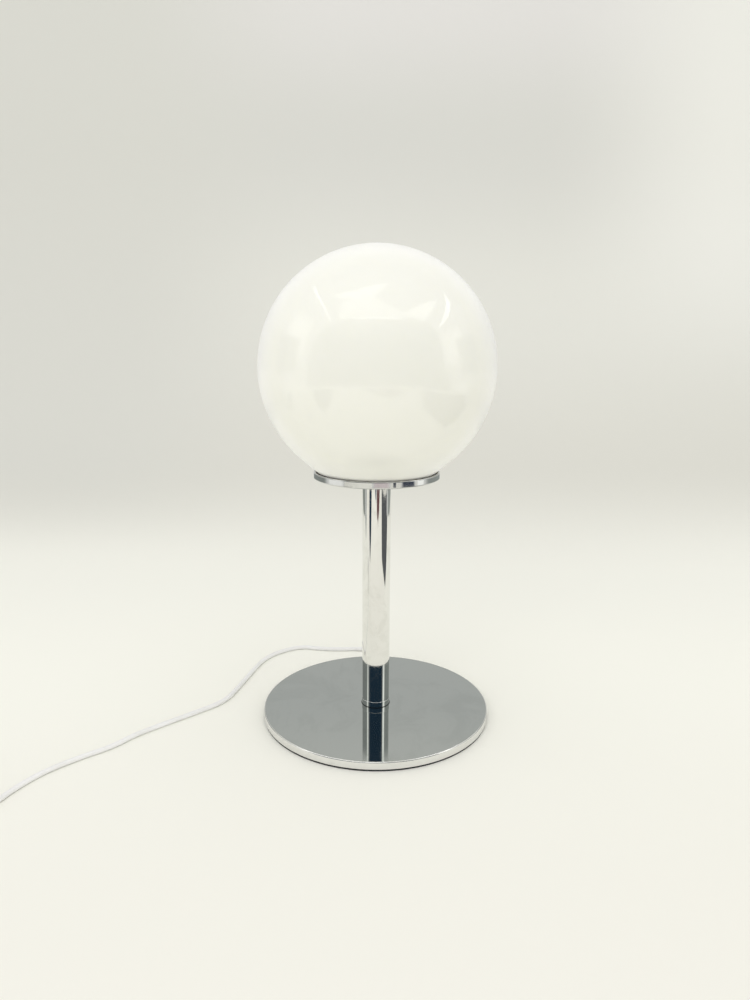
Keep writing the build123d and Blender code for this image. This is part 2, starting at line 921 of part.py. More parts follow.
def switch_screws():
    screws = []
    for side in (-1, 1):
        x = side * switch_screw_x
        screw = rod(switch_screw_head_radius, soft_gap, switch_screw_head_height, x)
        screw += rod(switch_screw_radius, switch_screw_head_height, switch_split + switch_screw_reach, x)
        slot_half = switch_screw_head_radius / 8
        screw -= block((x - switch_screw_head_radius, -slot_half, soft_gap),
                       (x + switch_screw_head_radius, slot_half, switch_screw_head_height / 2))
        screws.append(place_switch(screw))
    return screws


# ---- plug: built along X from the end of the cord, lying flat ----


def place_plug(piece):
    return Pos(plug_start_x, plug_y, plug_axis_height) * piece


def plug_relief():
    """Tapered strain relief with grooves between its ribs."""
    def radius_at(x):
        return relief_tip_radius + (relief_foot_radius - relief_tip_radius) * x / relief_length

    pitch = relief_length / relief_ribs
    line = [(0, 0), (0, relief_tip_radius)]
    for rib in range(relief_ribs - 1):
        groove = (rib + 1) * pitch
        for x, depth in ((groove - relief_groove_width, 0), (groove - relief_groove_width, relief_groove_depth),
                         (groove, relief_groove_depth), (groove, 0)):
            line.append((x, radius_at(x) - depth))
    line += [(relief_length, relief_foot_radius), (relief_length, 0)]
    return place_plug(revolve(outline(line), Axis.X))


def plug_body():
    """Flat two-pin body: a narrow neck that widens to the pin face."""
    sections = []
    for x, width, height, corner in (
        (relief_length, plug_neck_width, plug_neck_height, 4.5),
        (relief_length + plug_shoulder, plug_width - 4, plug_height, 5.5),
        (relief_length + plug_length, plug_width, plug_height, 5.5),
    ):
        sections.append(Plane.YZ.offset(x) * RectangleRounded(width, height, corner))
    body = loft(sections, ruled=True)
    for y in (-pin_spacing / 2, pin_spacing / 2):
        hole = Pos(relief_length + plug_length - sleeve_length, y, 0) * Rot(0, 90, 0)
        body -= hole * extrude(Circle(pin_core_radius + slip), sleeve_length)
    return place_plug(body)


def along_plug(radius, start, end, y):
    return Pos(start, y, 0) * Rot(0, 90, 0) * extrude(Circle(radius), end - start)


def plug_pins():
    face = relief_length + plug_length
    tip = face + pin_length
    pins = []
    for y in (-pin_spacing / 2, pin_spacing / 2):
        metal = along_plug(pin_radius, face + sleeve_length, tip, y)
        end_edge = metal.edges().sort_by(Axis.X)[-1]
        metal = fillet(end_edge, pin_radius * 0.6)
        metal += along_plug(pin_core_radius, face - sleeve_length + slip, face + sleeve_length, y)
        pins.append(place_plug(metal))
    return pins


def pin_sleeves():
    face = relief_length + plug_length
    sleeves = []
    for y in (-pin_spacing / 2, pin_spacing / 2):
        sleeve = along_plug(pin_sleeve_radius, face, face + sleeve_length, y)
        sleeve -= along_plug(pin_core_radius + slip, face, face + sleeve_length, y)
        sleeves.append(place_plug(sleeve))
    return sleeves


pieces = [
    base_pad, base_cover, base_weight, foot_screws, cord_bushing,
    stem_foot, stem_tube, stem_head, nipple,
    dish, dish_gasket, dish_washer, dish_nut,
    holder_cap, holder_shell, holder_core, socket_thread, socket_contact, terminal_screws,
    inner_cord, live_wire, neutral_wire,
    glass_globe,
    bulb_contact, bulb_insulator, bulb_cap, bulb_housing, bulb_plate, bulb_dome,
    cord_run, cord_link, cord_coil, cord_tail, coil_tie,
    switch_base, switch_top, switch_rocker, switch_contacts, switch_screws,
    plug_relief, plug_body, plug_pins, pin_sleeves,
]

os.makedirs("parts", exist_ok=True)
for make in pieces:
    shape = make()
    solids = shape if isinstance(shape, list) else shape.solids()
    node = Compound([solid for piece in solids for solid in piece.solids()])
    export_step(node, os.path.join("parts", make.__name__ + ".step"))

print(f"travel: globe {globe_lift} mm, bulb {thread_pitch * thread_turns:.3f} mm over {thread_turns} turns")
print(f"overall height {globe_centre + globe_radius:.1f} mm, base {2 * base_radius} mm across")
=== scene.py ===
import json
from math import cos, pi, radians, sin, tan

import bmesh
import bpy
from mathutils import Matrix, Vector


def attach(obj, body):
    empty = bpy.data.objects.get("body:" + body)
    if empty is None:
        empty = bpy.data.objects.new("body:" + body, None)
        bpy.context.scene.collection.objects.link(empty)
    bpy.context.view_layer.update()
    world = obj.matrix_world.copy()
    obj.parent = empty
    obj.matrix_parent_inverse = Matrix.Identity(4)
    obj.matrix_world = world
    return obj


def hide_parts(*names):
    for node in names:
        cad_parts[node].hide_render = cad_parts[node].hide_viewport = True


# The looks of a glass globe table lamp: an opal ball in a chrome dish, on a chrome stem and a round
# chrome base, with a white mains cord. Metres, in the same frame as the solids.

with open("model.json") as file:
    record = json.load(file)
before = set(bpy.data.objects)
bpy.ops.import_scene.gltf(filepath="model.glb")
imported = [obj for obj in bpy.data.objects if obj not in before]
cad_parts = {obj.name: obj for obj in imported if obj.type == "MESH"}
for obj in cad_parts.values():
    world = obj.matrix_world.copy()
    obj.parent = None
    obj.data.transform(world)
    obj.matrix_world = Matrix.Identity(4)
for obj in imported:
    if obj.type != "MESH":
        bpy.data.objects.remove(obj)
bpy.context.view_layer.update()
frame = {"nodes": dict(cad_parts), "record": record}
bpy.context.scene.view_settings.view_transform = "Standard"
MM = 0.001


# ---- camera ----

LENS_PIXELS = 747.68
PICTURE_HEIGHT = 1000
SENSOR = 36.0
CAMERA_PLACE = (-0.00143, -0.79929, 0.42148)
CAMERA_PITCH = 0.21195
CAMERA_ROLL = 0.00461
CAMERA_YAW = -0.00042


def set_camera():
    """Looks along +Y, turned by its yaw, tipped down by its pitch and rolled about the way it looks."""
    level_reach = cos(CAMERA_PITCH)
    ahead = Vector((sin(CAMERA_YAW) * level_reach, cos(CAMERA_YAW) * level_reach, -sin(CAMERA_PITCH)))
    level = Vector((cos(CAMERA_YAW), -sin(CAMERA_YAW), 0))
    upright = level.cross(ahead)
    right = level * cos(CAMERA_ROLL) + upright * sin(CAMERA_ROLL)
    up = upright * cos(CAMERA_ROLL) - level * sin(CAMERA_ROLL)
    turned = Matrix((right, up, -ahead)).transposed().to_4x4()
    data = bpy.data.cameras.new("camera")
    data.sensor_fit = "VERTICAL"
    data.sensor_height = SENSOR
    data.lens = LENS_PIXELS * SENSOR / PICTURE_HEIGHT
    data.clip_start = 0.01
    camera = bpy.data.objects.new("camera", data)
    camera.matrix_world = Matrix.Translation(CAMERA_PLACE) @ turned
    bpy.context.collection.objects.link(camera)
    bpy.context.scene.camera = camera


set_camera()


# ---- cords: the route's points are the solids' own, in millimetres ----

CORD_DIAMETER = 5.2
CORE_DIAMETER = 1.9
FLOOR_LINE = 2.65  # the cord's middle where it lies on the floor
EXIT = (0.0, 133.0, 5.525)
SWITCH_MIDDLE = (-470.0, -237.0, 8.0)
SWITCH_HALF = 34.0
COIL_X = -548.0
COIL_RADIUS = 35.2
COIL_PITCH = 5.7
COIL_HALF_TURNS = 5
COIL_FLOOR = 3.4
COIL_STEPS = 8  # points in a half turn
PLUG_START = (-466.0, -158.5, 6.85)
# up the stem: where the sheath ends, where its cores turn aside, and their terminals
SHEATH_END, CORES_PART, TERMINALS = 291.4, 295.6, 299.8
CORE_SPREAD = 9  # from the axis to a terminal

# (x, y) on the floor, from behind the base to the switch
FLOOR_ROUTE = [
    (-26.3, EXIT[1] + 36.1), (-46, EXIT[1] + 34), (-74, EXIT[1] + 35), (-104, EXIT[1] + 43), (-132, 157),
    (-150, 132), (-160, 90), (-169, 48), (-178, 13), (-206, -13.5), (-237, -42), (-261, -65), (-275, -87),
    (-303, -109.5), (-328, -135.5), (-343, -163), (-352, -190), (-369, -215),
]
RUN_ROUTE = [
    (0, EXIT[1], EXIT[2]),
    (0, EXIT[1] + 12.5, EXIT[2]),
    (-5.1, EXIT[1] + 23.9, 4.6),
    (-14.4, EXIT[1] + 32.3, 3.4),
    *((x, y, FLOOR_LINE) for x, y in FLOOR_ROUTE),
    (-392, -231, FLOOR_LINE + 1.2),
    (-414, SWITCH_MIDDLE[1], SWITCH_MIDDLE[2]),
    (-436, SWITCH_MIDDLE[1], SWITCH_MIDDLE[2]),
]


def coil_route():
    """Half turns of the coil: inwards on the surface, one that climbs, and outwards on top."""
    step = COIL_PITCH / 2
    bottom = [COIL_RADIUS - i * step for i in range(COIL_HALF_TURNS)]
    radii = bottom + [COIL_RADIUS - COIL_HALF_TURNS * step] + bottom[::-1]
    x, y, z = COIL_X, SWITCH_MIDDLE[1], COIL_FLOOR
    north = 1
    bulge = 1 / cos(pi / COIL_STEPS / 2)  # the spline runs inside its points by this much
    points = []
    for number, radius in enumerate(radii):
        climb = COIL_PITCH if number == COIL_HALF_TURNS else 0
        for i in range(COIL_STEPS):
            turn = (i + 0.5) * pi / COIL_STEPS
            across = x - north * radius * bulge * sin(turn)
            ahead = y + north * radius * (1 - bulge * cos(turn))
            points.append((across, ahead, z + climb * (i + 0.5) / COIL_STEPS))
        y += north * 2 * radius
        z += climb
        north = -north
    return points, (x, y, z)


def mains_route():
    """From the base to the plug, straight through the in-line switch."""
    turns, coil_end = coil_route()
    start = SWITCH_MIDDLE[0] - SWITCH_HALF
    y, z = SWITCH_MIDDLE[1:]
    link = [(start + 17, y, z), (start, y, z), (start - 10, y, z)]
    link += [(COIL_X + 15.2, y, COIL_FLOOR), (COIL_X + 5.2, y, COIL_FLOOR)]
    x, y, z = coil_end
    tail = [
        (x + 5.2, y, z),
        (x + 17.2, y, z),
        (x + 35.2, y - 2.5, FLOOR_LINE + 1.5),
        (x + 52.2, y - 1, FLOOR_LINE + 1),
        (PLUG_START[0] - 12, PLUG_START[1], PLUG_START[2]),
        PLUG_START,
    ]
    return RUN_ROUTE + link + turns + tail


def spline_curve(name, points, diameter):
    """A round flexible line on a smooth spline that follows the route's points. Its thickness stands in
    the points' radius, which the curve's box takes in."""
    curve = bpy.data.curves.new(name, "CURVE")
    curve.dimensions = "3D"
    curve.bevel_depth = 1.0
    curve.bevel_resolution = 6
    curve.use_fill_caps = True
    curve.resolution_u = 12
    spline = curve.splines.new("NURBS")
    spline.points.add(len(points) - 1)
    for point, place in zip(spline.points, points):
        point.co = (*[v * MM for v in place], 1.0)
        point.radius = diameter / 2 * MM
    spline.order_u = 3
    spline.use_endpoint_u = True
    cord = bpy.data.objects.new(name, curve)
    bpy.context.collection.objects.link(cord)
    return cord


mains_cord = spline_curve("mains_cord", mains_route(), CORD_DIAMETER)
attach(mains_cord, "stand")
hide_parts("cord_run", "cord_link", "cord_coil", "cord_tail")

inner_route = [EXIT, (0, 70, EXIT[2]), (0, 28, EXIT[2]), (0, 0, EXIT[2]), (0, 0, EXIT[2] + 28), (0, 0, 150)]
inner_mains_cord = spline_curve("inner_mains_cord", inner_route + [(0, 0, SHEATH_END)], CORD_DIAMETER)
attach(inner_mains_cord, "stand")
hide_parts("inner_cord")


def core_curve(name, side, node_name):
    """One insulated core, from the end of the sheath out to its terminal screw."""
    aside = CORE_SPREAD * side
    points = [(side, 0, SHEATH_END), (side, 0, CORES_PART), (aside, 0, CORES_PART), (aside, 0, TERMINALS)]
    core = spline_curve(name, points, CORE_DIAMETER)
    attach(core, "stand")
    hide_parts(node_name)
    return core


live_core = core_curve("live_core", 1, "live_wire")
neutral_core = core_curve("neutral_core", -1, "neutral_wire")


# ---- finishes: effects that several materials share ----


def feed(tree, socket, source):
    if isinstance(source, bpy.types.NodeSocket):
        tree.links.new(source, socket)
    elif isinstance(source, tuple) and len(source) == 3 and socket.type == "RGBA":
        socket.default_value = (*source, 1.0)
    else:
        socket.default_value = source


def node(tree, kind, feeds=None, **settings):
    """Adds a node, sets its options and feeds its sockets with values or with other nodes' outputs."""
    made = tree.nodes.new("ShaderNode" + kind)
    for name, value in settings.items():
        setattr(made, name, value)
    for name, source in (feeds or {}).items():
        feed(tree, made.inputs[name], source)
    return made


def fill(tree, sockets, **sources):
    """Feeds sockets by their names, written with _ for a space."""
    for name, source in sources.items():
        feed(tree, sockets[name.replace("_", " ")], source)


def calc(tree, operation, *values, clamp=False):
    """One step of arithmetic."""
    made = node(tree, "Math", operation=operation, use_clamp=clamp)
    for socket, value in zip(made.inputs, values):
        feed(tree, socket, value)
    return made.outputs[0]


def times(tree, first, second):
    return calc(tree, "MULTIPLY", first, second)


def mix_node(tree, kind, numbers, sources):
    """A Mix node's sockets share their names, so they are fed by number: factor, first and second."""
    made = node(tree, "Mix", data_type=kind, clamp_factor=True)
    for number, source in zip(numbers, sources):
        feed(tree, made.inputs[number], source)
    return made.outputs


def mixed(tree, factor, first, second):
    """A colour that runs from first to second."""
    return mix_node(tree, "RGBA", (0, 6, 7), (factor, first, second))[2]


def between(tree, factor, first, second):
    """A value that runs from first to second."""
    return mix_node(tree, "FLOAT", (0, 2, 3), (factor, first, second))[0]


def stretch(tree, value, low, high, to_low=0.0, to_high=1.0):
    """Maps low to high onto to_low to to_high, smoothly, and stops there."""
    feeds = {"Value": value, "From Min": low, "From Max": high, "To Min": to_low, "To Max": to_high}
    return node(tree, "MapRange", feeds, interpolation_type="SMOOTHSTEP", clamp=True).outputs[0]


def noise(tree, place, scale, detail=3.0, roughness=0.5, distortion=0.0):
    feeds = {"Vector": place, "Scale": scale, "Detail": detail, "Roughness": roughness}
    return node(tree, "TexNoise", {**feeds, "Distortion": distortion}).outputs[0]


def split(tree, vector):
    return node(tree, "SeparateXYZ", {"Vector": vector}).outputs


def length(tree, x, y):
    """How long the vector with these two parts is."""
    vector = node(tree, "CombineXYZ", {"X": x, "Y": y}).outputs[0]
    return node(tree, "VectorMath", {0: vector}, operation="LENGTH").outputs["Value"]


def lamp_place(tree):
    """Places on the lamp, in metres: every piece's own origin is the lamp's."""
    return node(tree, "TexCoord").outputs["Object"]


def facing_up(tree, low, high):
    """A mask that rises from nothing to full as the normal's upward part goes from low to high."""
    return stretch(tree, split(tree, node(tree, "NewGeometry").outputs["Normal"])[2], low, high)


def along(tree, place, x, y, z):
    """The same places drawn out, so that marks run long where a factor is small."""
    return node(tree, "Mapping", {"Vector": place, "Scale": (x, y, z)}).outputs[0]


SKIN = ("Color", "Roughness", "Height")


def start_group(name, inputs, outputs=SKIN):
    """A node group with these inputs and their usual values. Returns it with its inputs and outputs."""
    group = bpy.data.node_groups.new(name, "ShaderNodeTree")
    for label, value in inputs.items():
        colour = isinstance(value, tuple)
        kind = "NodeSocketColor" if colour else "NodeSocketFloat"
        socket = group.interface.new_socket(label, in_out="INPUT", socket_type=kind)
        socket.default_value = (*value, 1.0) if colour else value
    for label in outputs:
        kind = "NodeSocketColor" if label.endswith("Color") else "NodeSocketFloat"
        group.interface.new_socket(label, in_out="OUTPUT", socket_type=kind)
    given, out = group.nodes.new("NodeGroupInput"), group.nodes.new("NodeGroupOutput")
    return group, given.outputs, out.inputs


def make_wiped_polish():
    """Polished plate that has been wiped and handled: soft clouds, long wipe marks and a few specks."""
    tree, given, out = start_group(
        "wiped_polish",
        {"Metal Color": (0.6, 0.6, 0.6), "Smudge Color": (0.6, 0.6, 0.6), "Smudge Amount": 0.4,
         "Cloud Scale": 20.0, "Wipe Scale": 60.0, "Roughness": 0.04, "Smudge Roughness": 0.15,
         "Polish Scale": 700.0},
    )
    place = lamp_place(tree)
    clouds = stretch(tree, noise(tree, place, given["Cloud Scale"], 5.0, 0.62, 0.7), 0.45, 0.68)
    drawn_out = along(tree, place, 1.0, 0.35, 0.5)
    wipes = stretch(tree, noise(tree, drawn_out, given["Wipe Scale"], 4.0, 0.6), 0.5, 0.72)
    specks = stretch(tree, noise(tree, place, times(tree, given["Wipe Scale"], 14.0), 1.0), 0.77, 0.82)
    marks = calc(tree, "MAXIMUM", times(tree, clouds, 0.8), times(tree, wipes, 0.6))
    marks = calc(tree, "ADD", marks, times(tree, specks, 0.5), clamp=True)
    marks = times(tree, marks, given["Smudge Amount"])
    fill(tree, out, Color=mixed(tree, marks, given["Metal Color"], given["Smudge Color"]),
         Roughness=between(tree, marks, given["Roughness"], given["Smudge Roughness"]),
         Height=noise(tree, place, given["Polish Scale"], 2.0))
    return tree


def make_moulded_skin():
    """Moulded plastic or rubber: an even tone with slow variation, and the mould's fine grain."""
    tree, given, out = start_group(
        "moulded_skin",
        {"Color": (0.8, 0.8, 0.8), "Tone Color": (0.75, 0.75, 0.74), "Tone Scale": 30.0,
         "Grain Scale": 1500.0, "Roughness": 0.4, "Roughness Spread": 0.08},
    )
    place = lamp_place(tree)
    tone = stretch(tree, noise(tree, place, given["Tone Scale"], 4.0, 0.55), 0.35, 0.7)
    grain = noise(tree, place, given["Grain Scale"], 2.0, 0.6)
    spread = times(tree, calc(tree, "SUBTRACT", tone, 0.5), given["Roughness Spread"])
    fill(tree, out, Color=mixed(tree, tone, given["Color"], given["Tone Color"]),
         Roughness=calc(tree, "ADD", given["Roughness"], spread, clamp=True), Height=grain)
    return tree


def make_turned_rings():
    """Lathe marks round the lamp's axis, with a little tarnish between them."""
    tree, given, out = start_group(
        "turned_rings",
        {"Metal Color": (0.6, 0.6, 0.6), "Tarnish Color": (0.4, 0.38, 0.35), "Tarnish": 0.4,
         "Ring Pitch": 0.0004, "Roughness": 0.25, "Ring Roughness": 0.12},
    )
    place = lamp_place(tree)
    x, y, z = split(tree, place)
    reach = calc(tree, "ADD", length(tree, x, y), z)
    rings = calc(tree, "SINE", calc(tree, "DIVIDE", times(tree, reach, 2 * pi), given["Ring Pitch"]))
    broken = noise(tree, place, 500.0, 3.0)
    rings = times(tree, calc(tree, "MULTIPLY_ADD", rings, 0.5, 0.5), broken)
    patches = stretch(tree, noise(tree, place, 140.0, 4.0, 0.6), 0.42, 0.68)
    dull = times(tree, patches, given["Tarnish"])
    rough = calc(tree, "MULTIPLY_ADD", rings, given["Ring Roughness"], given["Roughness"])
    fill(tree, out, Color=mixed(tree, dull, given["Metal Color"], given["Tarnish Color"]),
         Roughness=calc(tree, "MULTIPLY_ADD", dull, 0.2, rough, clamp=True), Height=rings)
    return tree


def make_cast_skin():
    """Cast or fired skin: coarse lumps with fine pits."""
    tree, given, out = start_group(
        "cast_skin",
        {"Color": (0.2, 0.2, 0.2), "Pit Color": (0.1, 0.1, 0.1), "Pit Scale": 600.0, "Roughness": 0.6},
    )
    place = lamp_place(tree)
    pits = node(tree, "TexVoronoi", {"Vector": place, "Scale": given["Pit Scale"]}).outputs["Distance"]
    pits = stretch(tree, pits, 0.05, 0.45)
    lumps = noise(tree, place, times(tree, given["Pit Scale"], 0.25), 4.0, 0.6)
    fill(tree, out, Color=mixed(tree, times(tree, pits, lumps), given["Pit Color"], given["Color"]),
         Roughness=calc(tree, "MULTIPLY_ADD", lumps, 0.2, given["Roughness"], clamp=True),
         Height=calc(tree, "MULTIPLY_ADD", pits, 0.4, lumps))
    return tree


def make_settled_dust():
    """Dust that settles on what faces up, in thin patches."""
    tree, given, out = start_group(
        "settled_dust",
        {"Under Color": (0.5, 0.5, 0.5), "Under Roughness": 0.1, "Dust Color": (0.6, 0.6, 0.58),
         "Amount": 0.1, "Patch Scale": 40.0},
        ("Color", "Roughness"),
    )
    up = facing_up(tree, 0.55, 0.95)
    place = lamp_place(tree)
    patches = stretch(tree, noise(tree, place, given["Patch Scale"], 6.0, 0.7), 0.42, 0.75)
    motes = stretch(tree, noise(tree, place, 1800.0, 1.0), 0.7, 0.76)
    cover = times(tree, calc(tree, "MULTIPLY_ADD", motes, 0.8, patches), given["Amount"])
    cover = calc(tree, "MULTIPLY", cover, up, clamp=True)
    fill(tree, out, Color=mixed(tree, cover, given["Under Color"], given["Dust Color"]),
         Roughness=between(tree, cover, given["Under Roughness"], 0.6))
    return tree


def make_rubbed_edges():
    """Edges that handling has rubbed brighter or barer than the faces beside them."""
    tree, given, out = start_group(
        "rubbed_edges",
        {"Face Color": (0.5, 0.5, 0.5), "Edge Color": (0.7, 0.7, 0.7), "Edge Width": 0.0006,
         "Amount": 0.5},
        ("Color",),
    )
    rounded = node(tree, "Bevel", {"Radius": given["Edge Width"]}, samples=4).outputs[0]
    true = node(tree, "NewGeometry").outputs["Normal"]
    likeness = node(tree, "VectorMath", {0: rounded, 1: true}, operation="DOT_PRODUCT").outputs["Value"]
    edge = stretch(tree, likeness, 0.995, 0.85)
    worn = stretch(tree, noise(tree, lamp_place(tree), 220.0, 4.0, 0.6), 0.3, 0.7)
    mask = calc(tree, "MULTIPLY", times(tree, edge, worn), given["Amount"], clamp=True)
    fill(tree, out, Color=mixed(tree, mask, given["Face Color"], given["Edge Color"]))
    return tree


def make_joint_dirt_and_shade():
    """Dirt and painted shade round the lamp where two pieces meet: darkest on the joint's circle, gone at
    its reach."""
    tree, given, out = start_group(
        "joint_dirt_and_shade",
        {"Under Color": (0.5, 0.5, 0.5), "Dirt And Shade Color": (0.05, 0.05, 0.05), "Joint Radius": 0.016,
         "Joint Height": 0.01, "Reach": 0.0008, "Amount": 0.8},
        ("Color",),
    )
    x, y, z = split(tree, lamp_place(tree))
    out_by = calc(tree, "SUBTRACT", length(tree, x, y), given["Joint Radius"])
    up_by = calc(tree, "SUBTRACT", z, given["Joint Height"])
    share = calc(tree, "DIVIDE", length(tree, out_by, up_by), given["Reach"])
    mask = times(tree, stretch(tree, share, 1.0, 0.35), given["Amount"])
    fill(tree, out, Color=mixed(tree, mask, given["Under Color"], given["Dirt And Shade Color"]))
    return tree


def make_cut_thread():
    """Fine thread on an upright screw or tube, too small to be worth a mesh."""
    tree, given, out = start_group("cut_thread", {"Lead": 0.001}, ("Height",))
    turns = calc(tree, "DIVIDE", split(tree, lamp_place(tree))[2], given["Lead"])
    fill(tree, out, Height=calc(tree, "PINGPONG", turns, 0.5))
    return tree


POLISH = make_wiped_polish()
MOULDED = make_moulded_skin()
TURNED = make_turned_rings()
CAST = make_cast_skin()
DUST = make_settled_dust()
RUBBED = make_rubbed_edges()
THREAD = make_cut_thread()
JOINT_DIRT_AND_SHADE = make_joint_dirt_and_shade()


# ---- finishes: one material for each ----

# depths of relief, in metres
POLISH_DEPTH = 0.000002
LATHE_DEPTH = 0.000006
BLOWN_DEPTH = 0.00009
OPAL_GRAIN_DEPTH = 0.00002

OPAL = (0.88, 0.88, 0.81)
OPAL_THIN = (0.865, 0.865, 0.79)
OPAL_PAINTED_LIGHT_AT_NECK = (0.95, 0.95, 0.88)
OPAL_EDGE_PAINTED_LIGHT = (0.98, 0.98, 0.93)
NECK_FADE = (0.27, 0.35)  # heights between which the neck's painted light gives way to the ball's own tone
TUBE_JOINT = (15.6, 17.0, 0.2)  # radius, height and the reach of the dirt and painted shade in it, in millimetres
FOOT_JOINT = (15.95, 10.25, 1.0)


def empty_finish(name):
    """A material with no nodes yet. Returns it with its tree."""
    finish = bpy.data.materials.new(name)
    finish.use_nodes = True
    finish.node_tree.nodes.clear()
    return finish, finish.node_tree


def show(tree, kind, feeds=None):
    """Makes a shader and gives it to the surface. Returns its inputs."""
    shader = node(tree, kind, feeds)
    node(tree, "OutputMaterial", {"Surface": shader.outputs[0]})
    return shader.inputs


def new_finish(name, **plain):
    """A material whose shader has its plain values set. Returns it, its tree and its shader's inputs."""
    finish, tree = empty_finish(name)
    shader = show(tree, "BsdfPrincipled")
    fill(tree, shader, **plain)
    return finish, tree, shader


def placed(tree, group, **values):
    """A group with this material's own values. Returns its outputs."""
    made = node(tree, "Group", node_tree=group)
    fill(tree, made.inputs, **values)
    return made.outputs


def raised(tree, height, distance, strength=1.0, under=None):
    """A normal from a height, in metres."""
    feeds = {"Height": height, "Distance": distance, "Strength": strength}
    if under is not None:
        feeds["Normal"] = under
    return node(tree, "Bump", feeds).outputs[0]


def chrome_finish(name, metal, smudge, amount, cloud, wipe, roughness, smudge_roughness, dust, top=None,
                  joints=()):
    """Chrome plate: mirror polish with wipe marks and a little dust. Where top is given, the upward-facing
    top is painted greyer than the sides as painted shade for darker reflected surroundings, and dirt with
    painted shade sits in the joints, each given as (radius, height, reach)."""
    finish, tree, shader = new_finish(name, Metallic=1.0)
    # painted shade: an upward-facing top takes the darker tones given in top
    if top:
        up = facing_up(tree, 0.97, 0.999)
        metal = mixed(tree, up, metal, top[0])
        smudge = mixed(tree, up, smudge, top[1])
    skin = placed(tree, POLISH, Metal_Color=metal, Smudge_Color=smudge, Smudge_Amount=amount,
                  Cloud_Scale=cloud, Wipe_Scale=wipe, Roughness=roughness,
                  Smudge_Roughness=smudge_roughness)
    dusty = placed(tree, DUST, Under_Color=skin["Color"], Under_Roughness=skin["Roughness"], Amount=dust)
    shown = dusty["Color"]
    # dirt and painted shade darken each joint
    for radius, height, reach in joints:
        dirty_and_shaded = placed(tree, JOINT_DIRT_AND_SHADE, Under_Color=shown, Joint_Radius=radius * MM, Joint_Height=height * MM,
                       Reach=reach * MM)
        shown = dirty_and_shaded["Color"]
    fill(tree, shader, Base_Color=shown, Roughness=dusty["Roughness"],
         Normal=raised(tree, skin["Height"], POLISH_DEPTH, 0.3))
    return finish


def plastic_finish(name, colour, tone, roughness, grain_scale=1500.0, grain=0.00001, tone_scale=30.0,
                   dust=0.0, edge=None, **plain):
    """Moulded plastic or rubber, with its mould's grain and, where asked, rubbed edges and dust."""
    finish, tree, shader = new_finish(name, **plain)
    skin = placed(tree, MOULDED, Color=colour, Tone_Color=tone, Tone_Scale=tone_scale,
                  Grain_Scale=grain_scale, Roughness=roughness)
    shown, rough = skin["Color"], skin["Roughness"]
    if edge:
        shown = placed(tree, RUBBED, Face_Color=shown, Edge_Color=edge)["Color"]
    if dust:
        top = placed(tree, DUST, Under_Color=shown, Under_Roughness=rough, Amount=dust)
        shown, rough = top["Color"], top["Roughness"]
    normal = raised(tree, skin["Height"], grain, 0.5)
    fill(tree, shader, Base_Color=shown, Roughness=rough, Normal=normal)
    return finish


def metal_finish(name, metal, tarnish, amount, pitch, roughness, edge=None, thread=0.0):
    """Turned, rolled or punched metal that is hidden in the lamp or shows when it is taken apart. thread is
    its thread's lead, where it has one."""
    finish, tree, shader = new_finish(name, Metallic=1.0)
    skin = placed(tree, TURNED, Metal_Color=metal, Tarnish_Color=tarnish, Tarnish=amount,
                  Ring_Pitch=pitch, Roughness=roughness)
    shown = skin["Color"]
    if edge:
        shown = placed(tree, RUBBED, Face_Color=shown, Edge_Color=edge, Edge_Width=0.0003)["Color"]
    normal = raised(tree, skin["Height"], LATHE_DEPTH, 0.6)
    if thread:
        normal = raised(tree, placed(tree, THREAD, Lead=thread)["Height"], thread * 0.5, 1.0, normal)
    fill(tree, shader, Base_Color=shown, Roughness=skin["Roughness"], Normal=normal)
    return finish


def zinc_finish(name, thread=0.0):
    """Zinc-plated steel."""
    return metal_finish(name, (0.6, 0.61, 0.61), (0.4, 0.4, 0.38), 0.35, 0.0005, 0.28,
                        edge=(0.72, 0.72, 0.72), thread=thread)


def fired_finish(name, colour, pit, scale, roughness, depth, **plain):
    """Cast iron, unglazed ceramic or pressed glass."""
    finish, tree, shader = new_finish(name, **plain)
    skin = placed(tree, CAST, Color=colour, Pit_Color=pit, Pit_Scale=scale, Roughness=roughness)
    fill(tree, shader, Base_Color=skin["Color"], Roughness=skin["Roughness"],
         Normal=raised(tree, skin["Height"], depth, 0.8))
    return finish


def opal_finish():
    """Cased opal glass: a white layer, painted paler low down by the neck as painted light, under a clear
    glossy skin. Seen edge on, the skin carries light round the ball, so the edge is painted pale as painted
    light and its gloss is weak."""
    finish, tree, shader = new_finish(
        "opal_glass", Subsurface_Weight=0.35, Subsurface_Scale=0.004, Subsurface_Radius=(1.0, 1.0, 0.9),
        Specular_IOR_Level=0.1, Coat_Roughness=0.012, Coat_IOR=1.54,
    )
    place = lamp_place(tree)
    # painted light: the ball's colour is paler low down by the neck
    white = mixed(tree, stretch(tree, split(tree, place)[2], *NECK_FADE), OPAL_PAINTED_LIGHT_AT_NECK, OPAL)
    skin = placed(tree, MOULDED, Color=white, Tone_Color=mixed(tree, 0.5, white, OPAL_THIN),
                  Tone_Scale=6.0, Grain_Scale=60.0, Roughness=0.32, Roughness_Spread=0.05)
    facing = node(tree, "LayerWeight", {"Blend": 0.5}).outputs["Facing"]
    # painted light: the base colour turns paler towards the edge
    edge = stretch(tree, facing, 0.45, 0.85)
    gloss = stretch(tree, facing, 0.37, 0.52, 1.0, 0.06)
    blown = raised(tree, noise(tree, place, 14.0, 1.0), BLOWN_DEPTH)
    fill(tree, shader, Base_Color=mixed(tree, edge, skin["Color"], OPAL_EDGE_PAINTED_LIGHT), Coat_Weight=gloss,
         Roughness=skin["Roughness"], Coat_Normal=blown,
         Normal=raised(tree, skin["Height"], OPAL_GRAIN_DEPTH, 0.3, blown))
    return finish
